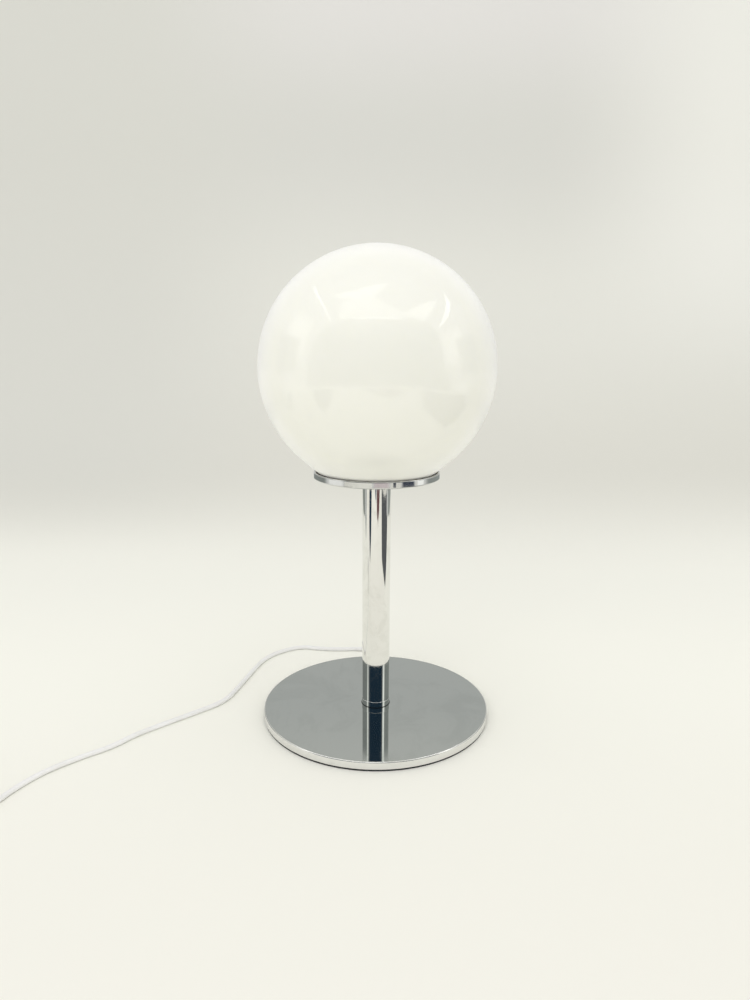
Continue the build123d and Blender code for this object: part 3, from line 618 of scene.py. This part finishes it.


# The top tones given below are painted shade: the top is greyer than the rim, standing in for darker
# reflected surroundings.
base_chrome = chrome_finish(
    "base_chrome", (0.84, 0.84, 0.83), (0.78, 0.78, 0.76), amount=0.7, cloud=17.0, wipe=60.0,
    roughness=0.035, smudge_roughness=0.09, dust=0.02, top=((0.51, 0.535, 0.515), (0.45, 0.475, 0.455)),
    joints=[FOOT_JOINT],
)
stem_chrome = chrome_finish(
    "stem_chrome", (0.84, 0.84, 0.82), (0.74, 0.74, 0.71), amount=0.8, cloud=45.0, wipe=120.0,
    roughness=0.05, smudge_roughness=0.12, dust=0.0, joints=[TUBE_JOINT, FOOT_JOINT],
)
# Painted shade: the dish's chrome is a darker copy of the stem's plate, standing in for darker reflected
# surroundings.
shaded_dish_chrome = chrome_finish(
    "shaded_dish_chrome", (0.66, 0.665, 0.655), (0.56, 0.56, 0.545), amount=0.5, cloud=30.0, wipe=90.0,
    roughness=0.04, smudge_roughness=0.12, dust=0.04,
)

# After a name and two colours, plastics have a roughness, then the grain's scale and depth. Metals have
# their tarnish, ring pitch and roughness, and fired ones a pit scale, roughness and depth.
FINISHES = {
    "pad_rubber": plastic_finish(
        "pad_rubber", (0.008, 0.008, 0.011), (0.014, 0.014, 0.017), 0.75, 900.0, 0.00008, tone_scale=60.0,
        edge=(0.03, 0.03, 0.03)),
    "chrome": base_chrome,
    "cast_iron": fired_finish(
        "cast_iron", (0.11, 0.108, 0.105), (0.04, 0.038, 0.036), 450.0, 0.62, 0.0002, Metallic=0.7),
    "zinc_steel": zinc_finish("zinc_steel"),
    "white_plastic": plastic_finish(
        "bushing_plastic", (0.84, 0.84, 0.82), (0.8, 0.8, 0.77), 0.5, edge=(0.88, 0.88, 0.87)),
    "gasket_rubber": plastic_finish(
        "gasket_rubber", (0.16, 0.14, 0.125), (0.2, 0.18, 0.165), 0.6, 1200.0, 0.00004, dust=0.1),
    "holder_plastic": plastic_finish(
        "holder_plastic", (0.82, 0.82, 0.79), (0.78, 0.775, 0.74), 0.34, 1700.0, dust=0.15,
        edge=(0.88, 0.88, 0.86)),
    "holder_ceramic": fired_finish(
        "holder_ceramic", (0.8, 0.78, 0.72), (0.66, 0.64, 0.58), 1100.0, 0.6, 0.00006),
    "brass": metal_finish(
        "socket_brass", (0.78, 0.6, 0.3), (0.45, 0.31, 0.14), 0.5, 0.0004, 0.24, edge=(0.86, 0.7, 0.4)),
    "cord_plastic": plastic_finish(
        "cord_jacket", (0.87, 0.87, 0.87), (0.83, 0.83, 0.82), 0.42, 1300.0, 0.00003, tone_scale=45.0,
        dust=0.08, Coat_Weight=0.15, Coat_Roughness=0.3),
    "live_plastic": plastic_finish("live_core", (0.22, 0.1, 0.05), (0.17, 0.075, 0.035), 0.4),
    "neutral_plastic": plastic_finish("neutral_core", (0.04, 0.14, 0.42), (0.03, 0.1, 0.34), 0.4),
    "opal_glass": opal_finish(),
    "tinned_steel": metal_finish(
        "bulb_contact_tin", (0.62, 0.62, 0.6), (0.42, 0.41, 0.38), 0.5, 0.0009, 0.35,
        edge=(0.75, 0.75, 0.73)),
    "black_glaze": fired_finish(
        "bulb_black_glass", (0.02, 0.02, 0.024), (0.01, 0.01, 0.012), 260.0, 0.12, 0.00004,
        Coat_Weight=0.6, Coat_Roughness=0.08),
    "nickel_brass": metal_finish(
        "nickel_plate", (0.72, 0.7, 0.65), (0.5, 0.47, 0.4), 0.35, 0.0006, 0.2, edge=(0.8, 0.74, 0.6)),
    "bulb_plastic": plastic_finish(
        "bulb_body_plastic", (0.86, 0.86, 0.86), (0.83, 0.83, 0.82), 0.3, 1600.0, dust=0.08,
        edge=(0.9, 0.9, 0.9)),
    "plate_aluminium": metal_finish(
        "light_plate", (0.78, 0.78, 0.78), (0.62, 0.62, 0.62), 0.3, 0.0007, 0.35, edge=(0.85, 0.85, 0.85)),
    "diffuser_plastic": plastic_finish(
        "bulb_diffuser", (0.9, 0.9, 0.89), (0.87, 0.87, 0.85), 0.45, 2200.0, 0.00002, dust=0.06,
        Subsurface_Weight=0.4, Subsurface_Scale=0.003, Subsurface_Radius=(1.0, 1.0, 1.0)),
    "tie_plastic": plastic_finish(
        "tie_band", (0.62, 0.62, 0.61), (0.55, 0.55, 0.54), 0.5, 700.0, 0.00006, edge=(0.7, 0.7, 0.7)),
    "switch_plastic": plastic_finish(
        "switch_case_plastic", (0.82, 0.82, 0.8), (0.79, 0.79, 0.76), 0.38, 900.0, 0.00003, dust=0.1,
        edge=(0.88, 0.88, 0.87)),
    "rocker_plastic": plastic_finish(
        "rocker_plastic", (0.85, 0.85, 0.84), (0.81, 0.81, 0.79), 0.22, 1600.0, dust=0.05,
        edge=(0.9, 0.9, 0.9), Coat_Weight=0.3, Coat_Roughness=0.12),
    "plug_plastic": plastic_finish(
        "plug_plastic", (0.81, 0.81, 0.79), (0.77, 0.77, 0.74), 0.5, 800.0, 0.00005, dust=0.1,
        edge=(0.87, 0.87, 0.86)),
    "sleeve_plastic": plastic_finish(
        "pin_sleeve_plastic", (0.78, 0.78, 0.76), (0.74, 0.74, 0.71), 0.4, edge=(0.84, 0.84, 0.82)),
}

threaded_zinc = zinc_finish("threaded_zinc", thread=0.001)
fine_threaded_zinc = zinc_finish("fine_threaded_zinc", thread=0.0007)

OWN_FINISH = {
    "stem_tube": stem_chrome,
    "stem_foot": stem_chrome,
    "dish": shaded_dish_chrome,
    "nipple": threaded_zinc,
    "foot_screws": fine_threaded_zinc,
    "switch_screws": fine_threaded_zinc,
}


# ---- turned and threaded pieces that the solids only stand for, in millimetres ----

BALL_RADIUS, BALL_CENTRE, GLASS_WALL = 125.0, 391.72, 3.0
NECK_RADIUS, NECK_FOOT, CONE_LATITUDE = 62.5, 277.4, 49.3
NECK_CORNER, NECK_FOOT_ROUND = 5.0, 1.2
COVER_RADIUS, COVER_TOP, COVER_EDGE = 128.0, 10.25, 1.2
EDGE_SUNK = 0.1  # how far the edge ring's back lies inside the cover
THREAD_LEAD = 3.629
THREAD_DEPTH = 0.9
THREAD_STEP = 0.25  # between rows up a thread
CAP_FOOT, CAP_TOP, CAP_VALLEY, CAP_WALL = 318.6, 338.2, 12.2, 0.35
CAP_FOOT_ROUND, CAP_FADE, CAP_SKIRT_STEP = 1.2, 1.2, 0.25
SHELL_FOOT, SHELL_TOP, SHELL_INSIDE, SHELL_WALL = 311.4, 335.4, 13.4, 0.5
HOUSING_STUB, HOUSING_FOOT, HOUSING_TOP = 328.4, 338.2, 382.2
HOUSING_STUB_RADIUS, HOUSING_FOOT_RADIUS, HOUSING_FOOT_ROUND = 11.5, 12.9, 0.8


def arc_line(middle, radius, start, end, steps):
    """(across, up) points along an arc, in degrees."""
    turns = [radians(start + (end - start) * i / steps) for i in range(steps + 1)]
    return [(middle[0] + radius * cos(t), middle[1] + radius * sin(t)) for t in turns]


def piece_from(name, shape, finish, body, stands_for=(), sharp=35):
    """Keeps a piece's mesh, smooth but for its sharp edges, and hangs it on its body."""
    bmesh.ops.remove_doubles(shape, verts=shape.verts, dist=0.00001)
    bmesh.ops.recalc_face_normals(shape, faces=shape.faces)
    mesh = bpy.data.meshes.new(name)
    shape.to_mesh(mesh)
    shape.free()
    for face in mesh.polygons:
        face.use_smooth = True
    mesh.set_sharp_from_angle(angle=radians(sharp))
    mesh.materials.append(finish)
    piece = bpy.data.objects.new(name, mesh)
    bpy.context.collection.objects.link(piece)
    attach(piece, body)
    if stands_for:
        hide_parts(*stands_for)


def turned_shape(rows, steps=96, ring=False):
    """Turns rows of (radius, height, thread depth) about the lamp's axis. A thread's valleys go in by its
    depth and follow a right-handed helix. ring joins the last row to the first."""
    shape = bmesh.new()
    rings = []
    for radius, height, depth in rows:
        verts = []
        for i in range(steps):
            turn = 2 * pi * i / steps
            valley = depth * (1 - cos(2 * pi * height / THREAD_LEAD - turn)) / 2
            r = radius - valley
            verts.append(shape.verts.new((r * cos(turn) * MM, r * sin(turn) * MM, height * MM)))
        rings.append(verts)
    pairs = list(zip(rings, rings[1:])) + ([(rings[-1], rings[0])] if ring else [])
    for low, high in pairs:
        for i in range(steps):
            j = (i + 1) % steps
            shape.faces.new((low[i], low[j], high[j], high[i]))
    return shape


def thread_rows(foot, top, crest, run_in, run_out):
    """Rows up a thread whose depth grows from nothing at its foot and fades again at its top."""
    count = round((top - foot) / THREAD_STEP)
    rows = []
    for i in range(count + 1):
        height = foot + (top - foot) * i / count
        share = min(1.0, (height - foot) / run_in, (top - height) / run_out)
        rows.append((crest, height, THREAD_DEPTH * max(share, 0.0)))
    return rows


def glass_line(inset, neck_start):
    """(radius, height) rows up the glass, at a depth under its outside: neck, rounded corner, cone and
    ball."""
    latitude = radians(CONE_LATITUDE)
    ball = BALL_RADIUS - inset
    neck = NECK_RADIUS - inset
    corner = BALL_CENTRE - ball * sin(latitude) - (ball * cos(latitude) - neck) / tan(latitude)
    bend = NECK_CORNER + inset
    bend_start = corner - bend * tan(latitude / 2)
    rows = [(neck, neck_start), (neck, (neck_start + bend_start) / 2)]
    rows += arc_line((neck + bend, bend_start), bend, 180, 180 - CONE_LATITUDE, 10)
    return rows + arc_line((0, BALL_CENTRE), ball, -CONE_LATITUDE, 90, 96)


def make_glass_shade(finish):
    """Blown opal ball with its fire-polished neck, as one even wall."""
    round_foot = NECK_FOOT + NECK_FOOT_ROUND
    middle = NECK_RADIUS - GLASS_WALL / 2
    side = GLASS_WALL / 2 - NECK_FOOT_ROUND
    foot = arc_line((middle - side, round_foot), NECK_FOOT_ROUND, -180, -90, 5)
    foot += arc_line((middle + side, round_foot), NECK_FOOT_ROUND, -90, 0, 5)[:-1]
    outside = glass_line(0, round_foot)
    inside = glass_line(GLASS_WALL, round_foot)
    rows = list(reversed(inside))[:-1] + foot + outside
    shape = turned_shape([(max(r, 0), h, 0) for r, h in rows], steps=240)
    piece_from("glass_shade", shape, finish, "globe", ["glass_globe"])


def make_cover_edge(finish):
    """The base's polished top edge, turned finer than the pressed cover that it stands on."""
    inner = COVER_RADIUS - COVER_EDGE
    rows = arc_line((inner, COVER_TOP - COVER_EDGE), COVER_EDGE, 2, 88, 14)
    rows += [(inner - EDGE_SUNK, COVER_TOP - EDGE_SUNK), (inner, COVER_TOP - COVER_EDGE),
             (COVER_RADIUS - EDGE_SUNK, COVER_TOP - (COVER_EDGE + EDGE_SUNK))]
    shape = turned_shape([(r, h, 0) for r, h in rows], steps=360, ring=True)
    piece_from("cover_edge", shape, finish, "stand")


def make_bulb_cap(finish):
    """Rolled screw cap: a small radius at its foot, over four turns of round thread, and a plain skirt."""
    foot_radius, skirt_radius = CAP_VALLEY - CAP_FOOT_ROUND, CAP_VALLEY + CAP_SKIRT_STEP
    foot = arc_line((foot_radius, CAP_FOOT + CAP_FOOT_ROUND), CAP_FOOT_ROUND, -90, 0, 6)[1:]
    outside = [(0, CAP_FOOT, 0), (foot_radius, CAP_FOOT, 0)] + [(r, h, 0) for r, h in foot]
    threads = thread_rows(CAP_FOOT + 1.4, CAP_TOP - 2.2, 0, CAP_FADE, CAP_FADE)
    outside += [(CAP_VALLEY + depth, height, depth) for _, height, depth in threads]
    outside += [(CAP_VALLEY, CAP_TOP - 1.6, 0), (skirt_radius, CAP_TOP - 1.2, 0), (skirt_radius, CAP_TOP, 0)]
    inside = [(max(r - CAP_WALL, 0), h, d) for r, h, d in reversed(outside[2:])]
    inside = [(r, max(h, CAP_FOOT + CAP_WALL), d) for r, h, d in inside] + [(0, CAP_FOOT + CAP_WALL, 0)]
    shape = turned_shape(outside + inside)
    piece_from("bulb_screw_cap", shape, finish, "bulb", ["bulb_cap"])


def make_screw_shell(finish):
    """The holder's screw shell: the bulb's thread runs in it with 0.3 mm to spare."""
    inside = thread_rows(SHELL_FOOT, SHELL_TOP, SHELL_INSIDE, 2.0, 1.2)
    outside = [(r + SHELL_WALL, h, d) for r, h, d in reversed(inside)]
    shape = turned_shape(inside + outside, ring=True)
    piece_from("holder_screw_shell", shape, finish, "stand", ["socket_thread"])


def make_bulb_body(finish):
    """Flared body with a waist, a parting groove under the dome and a stub for the cap."""
    stub, foot = HOUSING_STUB_RADIUS, HOUSING_FOOT_RADIUS
    rows = [(0, HOUSING_STUB), (stub, HOUSING_STUB), (stub, HOUSING_FOOT), (foot, HOUSING_FOOT)]
    rows += arc_line((foot, HOUSING_FOOT + HOUSING_FOOT_ROUND), HOUSING_FOOT_ROUND, -90, -10, 4)[1:]
    rows += [(14.5, 340.5), (15.9, 344.2), (17.2, 347.8), (19.3, 353.8), (21.8, 361.0), (24.4, 368.6),
             (26.7, 375.6), (28.1, 379.9), (28.15, 380.2), (27.8, 380.4), (27.8, 380.8),
             (28.5, 381.0), (28.85, 381.5), (28.9, HOUSING_TOP), (0, HOUSING_TOP)]
    shape = turned_shape([(r, h, 0) for r, h in rows])
    piece_from("bulb_body", shape, finish, "bulb", ["bulb_housing"], sharp=28)


# ---- finishes on the solids, and the pieces that replace some of them ----

slots = {row["node"]: row["material_slot"] for row in frame["record"]["subparts"]}
for name in frame["nodes"]:
    finish = OWN_FINISH.get(name) or FINISHES[slots[name]]
    for place in bpy.data.objects[name].material_slots:
        place.material = finish

for cord, slot_name in ((mains_cord, "cord_plastic"), (inner_mains_cord, "cord_plastic"),
                        (live_core, "live_plastic"), (neutral_core, "neutral_plastic")):
    cord.data.materials.append(FINISHES[slot_name])

make_glass_shade(FINISHES["opal_glass"])
make_cover_edge(stem_chrome)
make_bulb_cap(FINISHES["nickel_brass"])
make_screw_shell(FINISHES["brass"])
make_bulb_body(FINISHES["bulb_plastic"])


# ---- stage: paper sweep, pale surroundings and soft light, in metres and degrees ----

# the paper's front, where it starts to bend, the bend's radius, its top and half its width
SWEEP_FRONT, SWEEP_FLAT, SWEEP_BEND, SWEEP_TOP, SWEEP_HALF = -2.0, 0.55, 0.95, 2.9, 2.4
BEND_STEPS = 24
SWEEP_REACH = (-0.4, 2.85)  # from the front of the floor to above the picture, along y + z
# the paper's tones along y + z: its warm white, with painted shade greying the bend and the wall
SWEEP_TONES_WITH_PAINTED_SHADE = [
    (-0.4, (0.88, 0.87, 0.812)), (0.1, (0.93, 0.928, 0.868)), (0.5, (0.91, 0.91, 0.857)),
    (1.15, (0.725, 0.72, 0.67)), (1.95, (0.77, 0.77, 0.725)), (2.5, (0.7, 0.7, 0.67)),
    (2.85, (0.76, 0.75, 0.735)),
]
SWEEP_PAINTED_LIT_SIDE = (0.85, 0.85, 0.81)
SWEEP_PAINTED_DIM_SIDE = (0.7, 0.7, 0.66)

ROOM_LIGHT = 0.95
ROOM_TONE = (1.0, 0.995, 0.975)
GLOSS_TONE = (0.9, 0.9, 0.885)
BACKDROP_TONE = (0.78, 0.785, 0.775)

# the unlit front of the room: how far off, its columns, and its first and last azimuth at each height
OPENING_DISTANCE, OPENING_COLUMNS = 1.36, 14
OPENING_ROWS = [(0.08, -66, 68), (0.4, -64, 68), (0.7, -62, 66), (0.95, -60, 64), (1.2, -54, 58),
                (1.4, -47, 52), (1.55, -40, 46), (1.7, -30, 38)]
OPENING_DARK = (0.02, 0.042, 0.07)
OPENING_PALE = (0.62, 0.62, 0.59)

BOARD_STEPS = 12
WINDOW, BY_WINDOW, BY_SHADE = (1.5, 1.5, 1.45), (0.85, 0.85, 0.83), (0.8, 0.8, 0.78)
# name, first and last azimuth, distance, foot, top, tone, the tone beside it, feather and fade
SOFT_BOARDS = [
    ("left_window", -99, -66, 1.32, 0.45, 1.45, WINDOW, BY_WINDOW, 6, 0.3),
    ("right_window", 60, 91, 1.32, 0.35, 1.2, WINDOW, BY_WINDOW, 6, 0.3),
    ("left_shade", -152, -75, 1.3, 0.3, 0.88, (0.33, 0.345, 0.34), BY_SHADE, 5, 0.06),
    ("right_shade", 77, 152, 1.3, 0.3, 0.88, (0.36, 0.38, 0.37), BY_SHADE, 5, 0.06),
    ("back_shade", 146, 214, 1.26, 0.3, 0.86, (0.64, 0.645, 0.63), (0.7, 0.7, 0.675), 14, 0.22),
]
# name, first and last azimuth, distance, top and tone: what the dish's wall shows. Each goes as far down
# through the paper as it stands over it, so that only its top fades in sight.
LOW_BOARDS = [
    ("low_left_light", -97, -58, 1.44, 0.16, (1.1, 1.1, 1.07)),
    ("low_middle", -8, 24, 1.44, 0.12, (0.75, 0.66, 0.66)),
    ("low_right_dark", 42, 72, 1.44, 0.14, (0.06, 0.07, 0.1)),
    ("low_right_post", 28, 34, 1.44, 0.12, (0.08, 0.09, 0.11)),
    ("low_right_light", 74, 93, 1.43, 0.16, (1.25, 1.25, 1.2)),
    ("low_left_shade", -168, -92, 1.0, 0.16, (0.28, 0.3, 0.28)),
    ("low_right_shade", 90, 168, 1.0, 0.16, (0.33, 0.35, 0.33)),
]
BY_LOW_BOARD = (0.85, 0.85, 0.82)

# the film overhead hangs about this height, and its creases just before its folds
FILM_MIDDLE, FOLD_DISTANCE, CREASE_DISTANCE = 0.39, 1.9, 1.88
FILM_TONE = (1.0, 1.0, 0.98)
# (azimuth, elevation) corners, and strength
FILM_FOLDS = [
    ([(-45, 44), (-33, 40.5), (-14, 45), (8, 45), (26, 43), (43, 38), (52, 39), (33, 48), (15, 57),
      (-7, 65), (-35, 62), (-51, 56)], 1.7),
    ([(-72, 57), (-57, 57), (-35, 62), (-7, 65), (7, 72), (38, 78), (-17, 78), (-45, 69)], 2.0),
    ([(33, 48), (43, 38), (52, 39), (65, 44), (87, 48), (56, 52)], 2.1),
    ([(56, 28), (69, 32), (84, 36), (100, 41), (105, 47), (96, 44), (84, 40), (71, 35)], 3.2),
]
# a line of (azimuth, elevation), its width in degrees and its strength
FILM_CREASES = [
    ([(-120, 48), (-131, 54), (-152, 55), (-170, 54), (-185, 54), (-202, 55), (-216, 55), (-232, 51),
      (-237, 42)], 1.8, 2.6),
    ([(-114, 48), (-94, 49), (-69, 46), (-52, 38)], 1.6, 2.6),
    ([(-45, 43.5), (-33, 40), (-14, 44.5), (8, 44.5), (26, 42.5), (43, 37.5)], 1.0, 2.8),
]

CARD_LIFT = 0.0012  # over the paper
# (azimuth, distance) corners, and tone
FLOOR_CARDS = [
    ("card_left_of_middle", [(-60, 1.42), (-60, 0.9), (-52, 0.6), (-43, 0.85), (-40, 1.42)],
     (0.02, 0.035, 0.06)),
    ("card_middle", [(-14, 1.42), (-12, 1.25), (-2, 1.15), (-1, 1.42)], (0.12, 0.14, 0.2)),
    ("card_red", [(1, 1.42), (3, 1.0), (12, 0.93), (20, 1.05), (26, 1.42)], (0.14, 0.06, 0.065)),
    ("card_right", [(40, 1.42), (42, 0.9), (45, 0.64), (60, 0.54), (78, 0.46), (89, 0.6), (96, 0.9),
                    (99, 1.42)], (0.1, 0.105, 0.11)),
    ("card_far_left", [(-110, 1.42), (-93, 0.75), (-84, 1.42)], (0.28, 0.3, 0.31)),
]


def stage_mesh(name, points, faces, finish, smooth=False):
    mesh = bpy.data.meshes.new(name)
    mesh.from_pydata(points, [], faces)
    mesh.materials.append(finish)
    for face in mesh.polygons:
        face.use_smooth = smooth
    made = bpy.data.objects.new(name, mesh)
    bpy.context.collection.objects.link(made)
    return made


def sweep_paper():
    """Matt paper: warm near-white on the floor, greyer in the bend as painted shade, painted lighter high up
    on the right and dimmer on the left as painted light and shade."""
    finish, tree = empty_finish("sweep_paper")
    x, y, z = split(tree, lamp_place(tree))
    way = calc(tree, "ADD", y, z)
    start, end = SWEEP_REACH
    share = calc(tree, "DIVIDE", calc(tree, "SUBTRACT", way, start), end - start)
    climb = node(tree, "ValToRGB", {0: share})
    ramp = climb.color_ramp
    ramp.interpolation = "EASE"
    while len(ramp.elements) < len(SWEEP_TONES_WITH_PAINTED_SHADE):
        ramp.elements.new(1.0)
    for stop, (distance, tone) in zip(ramp.elements, SWEEP_TONES_WITH_PAINTED_SHADE):
        stop.position = (distance - start) / (end - start)
        stop.color = (*tone, 1)
    # painted light high up on the right, painted shade on the left
    lit = times(tree, stretch(tree, x, 0.45, 1.05), stretch(tree, z, 0.25, 0.75))
    dim = times(tree, stretch(tree, x, -0.1, -0.75), stretch(tree, way, 0.6, 1.2))
    tone = mixed(tree, dim, mixed(tree, lit, climb.outputs[0], SWEEP_PAINTED_LIT_SIDE), SWEEP_PAINTED_DIM_SIDE)
    show(tree, "BsdfDiffuse", {"Color": tone})
    return finish


def make_sweep():
    """One sheet: flat under the lamp, then up a wide bend to the wall."""
    profile = [(SWEEP_FRONT, 0.0), (SWEEP_FLAT, 0.0)]
    for i in range(1, BEND_STEPS + 1):
        turn = radians(90 * i / BEND_STEPS)
        profile.append((SWEEP_FLAT + SWEEP_BEND * sin(turn), SWEEP_BEND * (1 - cos(turn))))
    profile.append((SWEEP_FLAT + SWEEP_BEND, SWEEP_TOP))
    points = [(x, y, z) for y, z in profile for x in (-SWEEP_HALF, SWEEP_HALF)]
    faces = [(2 * i, 2 * i + 1, 2 * i + 3, 2 * i + 2) for i in range(len(profile) - 1)]
    stage_mesh("paper_sweep", points, faces, sweep_paper(), smooth=True)


def make_world():
    """Lights the room, and shows plain tones to the camera and to gloss."""
    world = bpy.data.worlds.new("pale_room")
    bpy.context.scene.world = world
    world.use_nodes = True
    tree = world.node_tree
    tree.nodes.clear()
    path = node(tree, "LightPath").outputs
    seen = calc(tree, "MAXIMUM", path["Is Camera Ray"], path["Is Transmission Ray"])
    room, glossy, backdrop = (
        node(tree, "Background", {"Color": tone, "Strength": strength}).outputs[0]
        for tone, strength in ((ROOM_TONE, ROOM_LIGHT), (GLOSS_TONE, 1.0), (BACKDROP_TONE, 1.0)))
    lit = node(tree, "MixShader", {0: path["Is Glossy Ray"], 1: room, 2: glossy}).outputs[0]
    shown = node(tree, "MixShader", {0: seen, 1: lit, 2: backdrop}).outputs[0]
    node(tree, "OutputWorld", {"Surface": shown})


def make_lamp(name, place, aim, width, height, energy):
    """A soft rectangle of light that gloss doesn't show."""
    data = bpy.data.lights.new(name, "AREA")
    data.shape = "RECTANGLE"
    data.size, data.size_y = width, height
    data.energy = energy
    lamp = bpy.data.objects.new(name, data)
    lamp.location = place
    lamp.rotation_mode = "QUATERNION"
    lamp.rotation_quaternion = (Vector(aim) - Vector(place)).to_track_quat("-Z", "Y")
    lamp.visible_glossy = False
    bpy.context.collection.objects.link(lamp)


def make_reflected(name, points, faces, tone, strength=1.0):
    """A board that only the chrome and the gloss of the glass see. Its tone is a colour, or a function that
    works one out in the board's own nodes."""
    board, tree = empty_finish(name)
    colour = tone(tree) if callable(tone) else tone
    show(tree, "Emission", {"Color": colour, "Strength": strength})
    made = stage_mesh(name, points, faces, board)
    made.visible_camera = made.visible_diffuse = made.visible_shadow = False
    made.visible_transmission = made.visible_volume_scatter = False


def around_front(azimuth, distance, height):
    """A place about the lamp: azimuth in degrees from the front, towards +X."""
    turn = radians(azimuth)
    return (distance * sin(turn), -distance * cos(turn), height)


def front_opening():
    """The unlit side of the room: nearly black in the middle, greyer towards its top and sides."""
    points = [around_front(first + (last - first) * i / OPENING_COLUMNS, OPENING_DISTANCE, height)
              for height, first, last in OPENING_ROWS for i in range(OPENING_COLUMNS + 1)]
    wide = OPENING_COLUMNS + 1
    faces = [(row * wide + i, row * wide + i + 1, (row + 1) * wide + i + 1, (row + 1) * wide + i)
             for row in range(len(OPENING_ROWS) - 1) for i in range(OPENING_COLUMNS)]

    def graded(tree):
        x, y, z = split(tree, lamp_place(tree))
        to_side = calc(tree, "ABSOLUTE", calc(tree, "ARCTAN2", x, times(tree, y, -1.0)))
        side = stretch(tree, to_side, radians(44), radians(72), 0.0, 0.55)
        top = stretch(tree, z, 0.85, 1.7)
        return mixed(tree, calc(tree, "MAXIMUM", side, top), OPENING_DARK, OPENING_PALE)

    make_reflected("front_opening", points, faces, graded)


def soft_board(name, first, last, distance, low, high, tone, beside, feather, fade):
    """A curved board that fades into the tone beside it: over feather degrees at its sides, over fade
    metres above and below."""
    points = []
    for i in range(BOARD_STEPS + 1):
        azimuth = first + (last - first) * i / BOARD_STEPS
        points += [around_front(azimuth, distance, low), around_front(azimuth, distance, high)]
    faces = [(2 * i, 2 * i + 2, 2 * i + 3, 2 * i + 1) for i in range(BOARD_STEPS)]

    def faded(tree):
        x, y, z = split(tree, lamp_place(tree))
        middle, half = radians((first + last) / 2), radians((last - first) / 2)
        ahead = calc(tree, "MULTIPLY_ADD", x, sin(middle), times(tree, y, -cos(middle)))
        aside = calc(tree, "MULTIPLY_ADD", x, cos(middle), times(tree, y, sin(middle)))
        turn = calc(tree, "ABSOLUTE", calc(tree, "ARCTAN2", aside, ahead))
        in_width = stretch(tree, turn, half, half - radians(feather))
        off = calc(tree, "ABSOLUTE", calc(tree, "SUBTRACT", z, (low + high) / 2))
        in_height = stretch(tree, off, (high - low) / 2, (high - low) / 2 - fade)
        return mixed(tree, times(tree, in_width, in_height), beside, tone)

    make_reflected(name, points, faces, faded)


def film(name, corners, distance, strength):
    """A piece of the film overhead, from (azimuth, elevation) corners."""
    points = [around_front(a, distance * cos(radians(e)), distance * sin(radians(e)) + FILM_MIDDLE)
              for a, e in corners]
    make_reflected(name, points, [tuple(range(len(points)))], FILM_TONE, strength)


def floor_card(name, corners, tone):
    """A flat board just over the paper, from (azimuth, distance) corners."""
    points = [around_front(azimuth, distance, CARD_LIFT) for azimuth, distance in corners]
    make_reflected(name, points, [tuple(range(len(points)))], tone)


make_sweep()
make_world()
make_lamp("overhead_softbox", (0.15, -0.35, 2.3), (0.0, 0.0, 0.2), width=1.9, height=1.5, energy=3.5)
make_lamp("front_fill", (-0.9, -2.2, 1.5), (0.0, 0.0, 0.25), width=1.6, height=1.2, energy=8)

# What the chrome and the glass's gloss show: the dark front of the room with a lit window on either side,
# a crumpled sheet of bright film overhead, and darker things past the paper's edges and low at its sides.
front_opening()
for board in SOFT_BOARDS:
    soft_board(*board)
for number, (corners, strength) in enumerate(FILM_FOLDS):
    film(f"film_fold_{number + 1}", corners, FOLD_DISTANCE, strength)
for number, (line, width, strength) in enumerate(FILM_CREASES):
    far_side = [(azimuth, elevation + width) for azimuth, elevation in reversed(line)]
    film(f"film_crease_{number + 1}", line + far_side, CREASE_DISTANCE, strength)
for card in FLOOR_CARDS:
    floor_card(*card)
for name, first, last, distance, high, tone in LOW_BOARDS:
    feather = (last - first) / 5
    soft_board(name, first, last, distance, 0.002 - high, high, tone, BY_LOW_BOARD, feather, 0.02)
